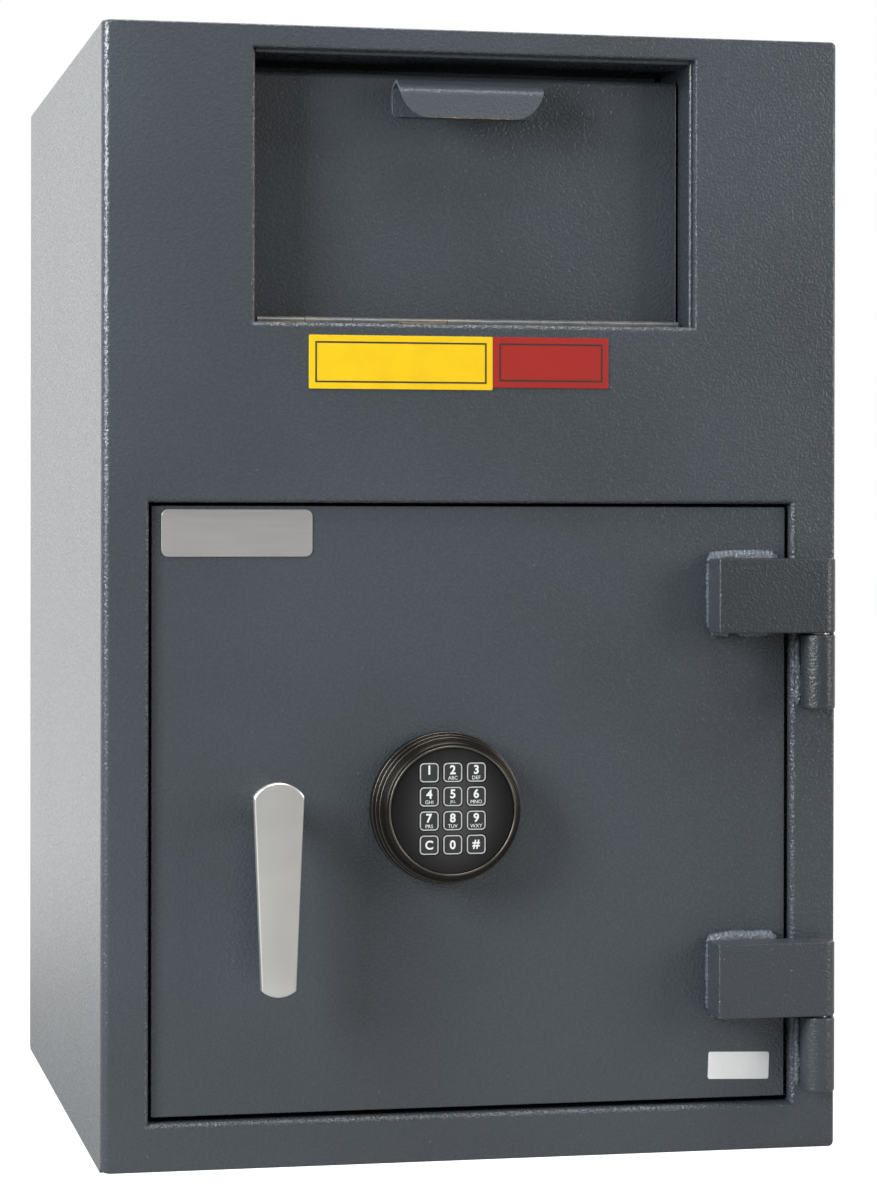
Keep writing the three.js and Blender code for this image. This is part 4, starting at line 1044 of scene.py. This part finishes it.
# Lever
# A tapered paddle of cast metal with a slightly crowned face, a bright chamfer all round and a round hub
# that turns on the spindle.
LEVER_RISE = 0.0166
LEVER_LENGTH = 0.1407
LEVER_TOP = (0.0333, 0.0087)
LEVER_BOTTOM = (0.0229, 0.0043)
LEVER_CROWN = 0.0009
LEVER_CHAMFER = 0.0009
LEVER_THICKNESS = 0.008
COLUMNS = 20
ROWS = 60
CROWN_END_ROWS = 3.6
HUB_RADIUS = 0.010
HUB_FLARE = 0.004
HUB_FLARE_DEPTH = 0.003996
HUB_EDGE = 0.0006
HUB_STEPS = 56

low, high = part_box("lever_handle")


def lever_end(inset, share, at_top):
    """A point on the paddle's top or bottom arc, at a share of the half width."""
    width, sagitta = LEVER_TOP if at_top else LEVER_BOTTOM
    half = width / 2 - inset
    radius = (half ** 2 + sagitta ** 2) / (2 * sagitta)
    x = share * half
    drop = radius - math.sqrt(radius ** 2 - x ** 2)
    if at_top:
        return Vector((x, LEVER_RISE - inset - drop))
    return Vector((x, LEVER_RISE - LEVER_LENGTH + inset + drop))


def lever_ring(bm, inset, y):
    """One closed ring round the paddle, in the order of the face grid's border."""
    shares = [2 * i / COLUMNS - 1 for i in range(COLUMNS + 1)]
    heights = [j / ROWS for j in range(ROWS + 1)]
    ring = [lever_end(inset, share, False) for share in shares]
    ring += [lever_end(inset, 1, False).lerp(lever_end(inset, 1, True), h) for h in heights[1:]]
    ring += [lever_end(inset, share, True) for share in shares[-2::-1]]
    ring += [lever_end(inset, -1, True).lerp(lever_end(inset, -1, False), h) for h in heights[1:-1]]
    return [bm.verts.new((spindle.x + point.x, y, spindle.y + point.y)) for point in ring]


bm = bmesh.new()
face_y = low.y + LEVER_CROWN
rear_y = low.y + LEVER_THICKNESS
rings = [lever_ring(bm, share * LEVER_CHAMFER, start + depth * LEVER_CHAMFER) for share, start, depth in (
    (1.0, rear_y, 0.0), (0.3, rear_y, -0.3), (0.0, rear_y, -1.0),
    (0.0, face_y, 0.9), (0.12, face_y, 0.62), (0.85, face_y, 0.06), (1.0, face_y, 0.0))]
for ring, following in zip(rings, rings[1:]):
    bridge(bm, ring, following)
bmesh.ops.triangle_fill(bm, use_beauty=True,
                        edges=[bm.edges.get((rings[0][i - 1], rings[0][i])) for i in range(len(rings[0]))])
border = rings[-1]
grid = [border[:COLUMNS + 1]]
for j in range(1, ROWS):
    row = [border[-j]]
    for i in range(1, COLUMNS):
        share = 2 * i / COLUMNS - 1
        point = lever_end(LEVER_CHAMFER, share, False).lerp(lever_end(LEVER_CHAMFER, share, True), j / ROWS)
        ends = min(1.0, min(j, ROWS - j) / CROWN_END_ROWS)
        crown = LEVER_CROWN * (1 - share ** 2) * math.sin(QUARTER * ends)
        row.append(bm.verts.new((spindle.x + point.x, face_y - crown, spindle.y + point.y)))
    grid.append(row + [border[COLUMNS + j]])
grid.append(border[COLUMNS + ROWS:2 * COLUMNS + ROWS + 1][::-1])
for row, following in zip(grid, grid[1:]):
    for i in range(COLUMNS):
        bm.faces.new((row[i], row[i + 1], following[i + 1], following[i]))
hub_profile = []
for step in range(7):
    rise = math.sin(QUARTER * step / 6)
    hub_profile.append((rear_y + HUB_FLARE_DEPTH * rise, HUB_FLARE * (rise - 1)))
hub_profile += [(high.y - HUB_EDGE, 0.0), (high.y, HUB_EDGE)]
add_prism(bm, "y", circle(*spindle, HUB_RADIUS, HUB_STEPS), hub_profile)
finished(bm, "lever", [satin_metal], "handle", "satin_metal", "lever_handle", sharp=60)


# Keypad housing and face
# A moulded ring that steps in three times to a thin lip, and a face seated in it with a window for
# each key. Both are a bronze black plastic. The lip and each step's rounded corner are coloured a paler
# metallic bronze, a painted highlight. The face has a fine moulded grain, and its colour is painted paler
# at its middle, a painted highlight.
RING_STEPS = 160
HOUSING_STEPS = 3
STEP_WIDTH = 0.0014
STEP_RISE = 0.0057
STEP_ROUND = 0.0006
STEP_ROUND_STEPS = 4
STEP_FILLET = 0.0002
STEP_SUPPORT = 0.0005
BASE_HEIGHT = 0.008
LIP = 0.0016
LIP_STEPS = 8
LIP_SETBACK = 0.0008
SLOPE = 0.0036
LEDGE = 0.0024
FACE_RECESS = 0.0012
FACE_THICKNESS = 0.004
HIGHLIGHT_FLATTENING = 0.8
HIGHLIGHT_REACH = (0.002, 0.042)
BOARD_HEIGHT = 0.015
WINDOW_GAP = 0.0003
KEY_ROUND = 0.003
KEY_NAMES = [*"123456789c0", "hash"]

bronze_black = plain_finish(
    "bronze_black", (0.0045, 0.0040, 0.0035), (0.009, 0.0078, 0.0065), (35.0, 3.0), roughness=0.3,
    sheen=((90.0, 2.0), 0.3, 0.7, 0.26, 0.32), relief=((500.0, 1.0), 0.000003))
shader = bronze_black.node_tree.nodes["Principled BSDF"]
shader.inputs["Specular IOR Level"].default_value = 0.20
shader.inputs["Specular Tint"].default_value = (1.0, 0.9, 0.8, 1)
# Paler metallic bronze for the lip and each step's rounded corner: painted highlight lines.
highlight_bronze = plain_finish("bronze_painted_highlight", (0.075, 0.065, 0.054), (0.14, 0.121, 0.100), (60.0, 3.0),
                        roughness=0.3, metallic=0.8)

face_finish, tree, shader = new_finish("keypad_face_grain_and_painted_highlight", 0.42)
shader.inputs["Specular IOR Level"].default_value = 0.22
# The face's colour is painted paler towards its middle, in an ellipse round the keypad: a painted highlight.
centred = tree.nodes.new("ShaderNodeMapping")
feed(tree, centred.inputs["Vector"], object_place(tree))
centred.inputs["Location"].default_value = (-keypad.x, 0, -HIGHLIGHT_FLATTENING * keypad.y)
centred.inputs["Scale"].default_value = (1, 0, HIGHLIGHT_FLATTENING)
away = tree.nodes.new("ShaderNodeVectorMath")
away.operation = "LENGTH"
tree.links.new(centred.outputs[0], away.inputs[0])
painted_highlight_centre = spread(tree, away.outputs["Value"], *HIGHLIGHT_REACH, 1.0, 0.0)
feed(tree, shader.inputs["Base Color"],
     tint(tree, painted_highlight_centre, (0.004, 0.0039, 0.0037), (0.062, 0.060, 0.058)))
cells = tree.nodes.new("ShaderNodeTexVoronoi")
feed(tree, cells.inputs["Vector"], object_place(tree))
cells.inputs["Scale"].default_value = 900.0
raise_relief(tree, shader, cells.outputs["Distance"], 0.00018)

low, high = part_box("keypad_housing")
outer_radius = (high.x - low.x) / 2
slope_start = outer_radius - HOUSING_STEPS * STEP_WIDTH
slope_top = BASE_HEIGHT + (HOUSING_STEPS - 1) * STEP_RISE
face_bore = slope_start - SLOPE - LIP
lip_outer = face_bore + LIP
projection = high.y - low.y
board_bore = face_bore - LEDGE
inner_wall = board_bore - LEDGE
seat = projection - FACE_RECESS - FACE_THICKNESS
turning = [(inner_wall, 0.0), (outer_radius, 0.0)]
highlight_faces = []
for i in range(HOUSING_STEPS):
    radius = outer_radius - i * STEP_WIDTH
    top = BASE_HEIGHT + i * STEP_RISE
    highlight_faces += (len(turning) + 1, len(turning) + 2)
    turning += arc(radius - STEP_ROUND, top - STEP_ROUND, STEP_ROUND, 0, STEP_ROUND_STEPS)
    turning += [(radius - STEP_WIDTH + STEP_FILLET, top), (radius - STEP_WIDTH, top + STEP_FILLET),
                (radius - STEP_WIDTH, top + STEP_SUPPORT)]
for step in range(1, LIP_STEPS + 1):
    angle = QUARTER * step / LIP_STEPS
    turning.append((slope_start - (slope_start - lip_outer) * (1 - math.cos(angle)),
                    slope_top + (projection - LIP_SETBACK - slope_top) * math.sin(angle)))
highlight_faces += range(len(turning), len(turning) + LIP_STEPS)
turning += arc(face_bore + LIP / 2, projection - LIP / 2, LIP / 2, 0, LIP_STEPS, 2 * QUARTER)
turning += [(face_bore, seat), (board_bore, seat), (board_bore, BOARD_HEIGHT), (inner_wall, BOARD_HEIGHT)]
bm = bmesh.new()
circles = [[bm.verts.new((keypad.x + radius * turn.x, high.y - height, keypad.y + radius * turn.y))
            for radius, height in turning] for turn in circle(0, 0, 1, RING_STEPS)]
for line, following in zip(circles, circles[1:] + circles[:1]):
    bridge(bm, line, following)
# Faces of the lip and of each step's rounded corner take the paler bronze, a painted highlight.
for i, face in enumerate(bm.faces):
    face.material_index = int(i % len(turning) in highlight_faces)
finished(bm, "keypad_ring", [bronze_black, highlight_bronze], "door", "black_plastic", "keypad_housing", sharp=50,
         even=False)

low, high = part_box("keypad_face")
windows = []
for name in KEY_NAMES:
    key_low, key_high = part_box("key_" + name)
    windows.append(rectangle(key_low.x - WINDOW_GAP, key_high.x + WINDOW_GAP, key_low.z - WINDOW_GAP,
                             key_high.z + WINDOW_GAP, KEY_ROUND + WINDOW_GAP, 8))
bm = bmesh.new()
add_prism(bm, "y", circle(*keypad, (high.x - low.x) / 2, RING_STEPS),
          edge_profile(low.y, high.y, 0.0003, 0, 2), windows, edge_profile(low.y, high.y, 0.0002, 0, 2))
finished(bm, "keypad_front", [face_finish], "door", "black_plastic", "keypad_face")

solder_mask, tree, shader = new_finish("solder_mask", 0.35)
tracks = tree.nodes.new("ShaderNodeTexBrick")
for label, value in (("Vector", object_place(tree, turn=(QUARTER, 0, 0))), ("Scale", 260.0),
                     ("Mortar Size", 0.06), ("Color1", (0.010, 0.085, 0.035)),
                     ("Color2", (0.014, 0.105, 0.045)), ("Mortar", (0.03, 0.20, 0.08))):
    feed(tree, tracks.inputs[label], value)
feed(tree, shader.inputs["Base Color"], tracks.outputs["Color"])
coat_round(solder_mask, "circuit_board")


# Keys
# Twelve moulded caps with a pale printed frame and figure. They are sprung and stand half a millimetre
# proud of the face.
CAP_EDGE = 0.0002
FRAME_WIDTH = 0.00075
FRAME_INSET = 0.0003
PRINT_RISE = 0.00004
PRINT_SINK = 0.000032
FIGURE_HEIGHT = 0.0061
FIGURE_WEIGHT = 0.028
FIGURE_RISE = 0.0018
LETTER_HEIGHT = 0.0024
LETTER_DROP = 0.0036
KEY_LETTERS = {"2": "ABC", "3": "DEF", "4": "GHI", "5": "JKL", "6": "MNO", "7": "PRS", "8": "TUV", "9": "WXY"}

cap_finish = plain_finish("key_cap", (0.016, 0.0158, 0.0155), (0.026, 0.0255, 0.025), (120.0, 2.0),
                          relief=((2200.0, 1.0), 0.00002))
print_finish = plain_finish("pale_print", (0.74, 0.74, 0.73), (0.86, 0.86, 0.85), (700.0, 2.0))
frame_finish = plain_finish("grey_print", (0.42, 0.42, 0.42), (0.54, 0.54, 0.54), (700.0, 2.0))

tree, start, end = geometry_tree("key_frame", [
    ("Width", "Float", 0.0134), ("Line", "Float", FRAME_WIDTH), ("Round", "Float", KEY_ROUND),
    ("Rise", "Float", PRINT_RISE), ("Material", "Material", None)])
value = start.outputs
inner_width = calculate(tree, "MULTIPLY_ADD", value["Line"], -2.0, value["Width"])
inner_round = calculate(tree, "SUBTRACT", value["Round"], value["Line"])
loops = []
for width, radius in ((value["Width"], value["Round"]), (inner_width, inner_round)):
    square = step_node(tree, "GeometryNodeCurvePrimitiveQuadrilateral", Width=width, Height=width)
    loops.append(step_node(tree, "GeometryNodeFilletCurve", ("mode", "POLY"), Curve=square, Count=7,
                           Radius=radius))
flat = step_node(tree, "GeometryNodeFillCurve", Curve=joined(tree, *loops))
raised = step_node(tree, "GeometryNodeExtrudeMesh", Mesh=flat, Offset_Scale=value["Rise"],
                   Individual=False)
end_tree(tree, start, end, raised)
key_frame = tree

key_low, key_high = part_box("key_5")
frame_print = evaluated_mesh(key_frame, bpy.data.meshes.new("frame"), Line=FRAME_WIDTH, Rise=PRINT_RISE,
                             Width=key_high.x - key_low.x - 2 * FRAME_INSET, Round=KEY_ROUND - FRAME_INSET,
                             Material=frame_finish)
stand_up = Matrix.Rotation(QUARTER, 4, "X")


def lettering(text, height, x, y, z, weight):
    """Printed text of a given height, centred at a place on a face that looks to -Y."""
    curve = bpy.data.curves.new("lettering", "FONT")
    curve.body = text
    curve.size = 1.0
    curve.offset = weight
    curve.resolution_u = 5
    curve.align_x = "CENTER"
    mesh = evaluated(placed("lettering", curve))
    across_page = [vert.co.x for vert in mesh.vertices]
    up_page = [vert.co.y for vert in mesh.vertices]
    centre = Vector(((min(across_page) + max(across_page)) / 2, (min(up_page) + max(up_page)) / 2, 0))
    scale = height / (max(up_page) - min(up_page))
    mesh.transform(Matrix.Translation((x, y, z)) @ stand_up @ Matrix.Scale(scale, 4)
                   @ Matrix.Translation(-centre))
    return mesh


for name in KEY_NAMES:
    low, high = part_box("key_" + name)
    x = (low.x + high.x) / 2
    z = (low.z + high.z) / 2
    cap_top = low.y + PRINT_RISE
    bm = bmesh.new()
    add_prism(bm, "y", rectangle(low.x, high.x, low.z, high.z, KEY_ROUND, 8),
              edge_profile(cap_top, high.y, CAP_EDGE, 0, 3))
    caps = len(bm.faces)
    printed = frame_print.copy()
    printed.transform(Matrix.Translation((x, cap_top, z)) @ stand_up)
    bm.from_mesh(printed)
    framed = len(bm.faces)
    figure = {"c": "C", "hash": "#"}.get(name, name)
    rise = FIGURE_RISE if name in KEY_LETTERS or name == "1" else 0.0
    bm.from_mesh(lettering(figure, FIGURE_HEIGHT, x, cap_top - PRINT_SINK, z + rise, FIGURE_WEIGHT))
    if name in KEY_LETTERS:
        bm.from_mesh(lettering(KEY_LETTERS[name], LETTER_HEIGHT, x, cap_top - PRINT_SINK,
                               z - LETTER_DROP, 0.0))
    for i, face in enumerate(bm.faces):
        face.material_index = int(i >= caps) + int(i >= framed)
        face.smooth = False
    mesh = bpy.data.meshes.new("cap")
    bm.to_mesh(mesh)
    bm.free()
    for material in (cap_finish, frame_finish, print_finish):
        mesh.materials.append(material)
    piece_of(mesh, "cap_" + name, "button_" + name, "key_plastic", "key_" + name)


# Name plate and label
# A stamped plate of brushed metal, left bare, and a small bare paper label stuck on by hand, not quite
# level.
PLATE_ROUND = 0.0046
PLATE_EDGE = 0.0003
LABEL_SIZE = (0.0436, 0.0187)
LABEL_THICKNESS = 0.00018
LABEL_EDGE = 0.00008
LABEL_ROUND = 0.0015
BRUSHING = ((25.0, 25.0, 1900.0), 3.0, 0.6)
label_middle = Vector((0.187, 0.05705))
label_tilt = math.radians(-1.6)

brushed = plain_finish(
    "brushed_plate", (0.505, 0.48, 0.463), (0.555, 0.527, 0.508), BRUSHING, SOFT, metallic=0.75,
    sheen=(BRUSHING, 0.3, 0.7, 0.34, 0.42), relief=(BRUSHING, 0.00002))
dressed_plate("name_plate", "bare_name_plate", brushed, "door", "silver_plate", "y", (PLATE_ROUND, 8),
              (PLATE_EDGE, 0.0))

paper = plain_finish("label_paper", (0.74, 0.73, 0.72), (0.85, 0.84, 0.83), (350.0, 4.0), roughness=0.45)
half_u, half_v = (size / 2 for size in LABEL_SIZE)
tilt = Matrix.Rotation(label_tilt, 2)
label_outline = [label_middle + tilt @ point
                 for point in rectangle(-half_u, half_u, -half_v, half_v, LABEL_ROUND, 5)]
bm = bmesh.new()
add_prism(bm, "y", label_outline, edge_profile(door_front - LABEL_THICKNESS, door_front, LABEL_EDGE, 0, 2))
finished(bm, "bare_label", [paper], "door", "silver_plate")
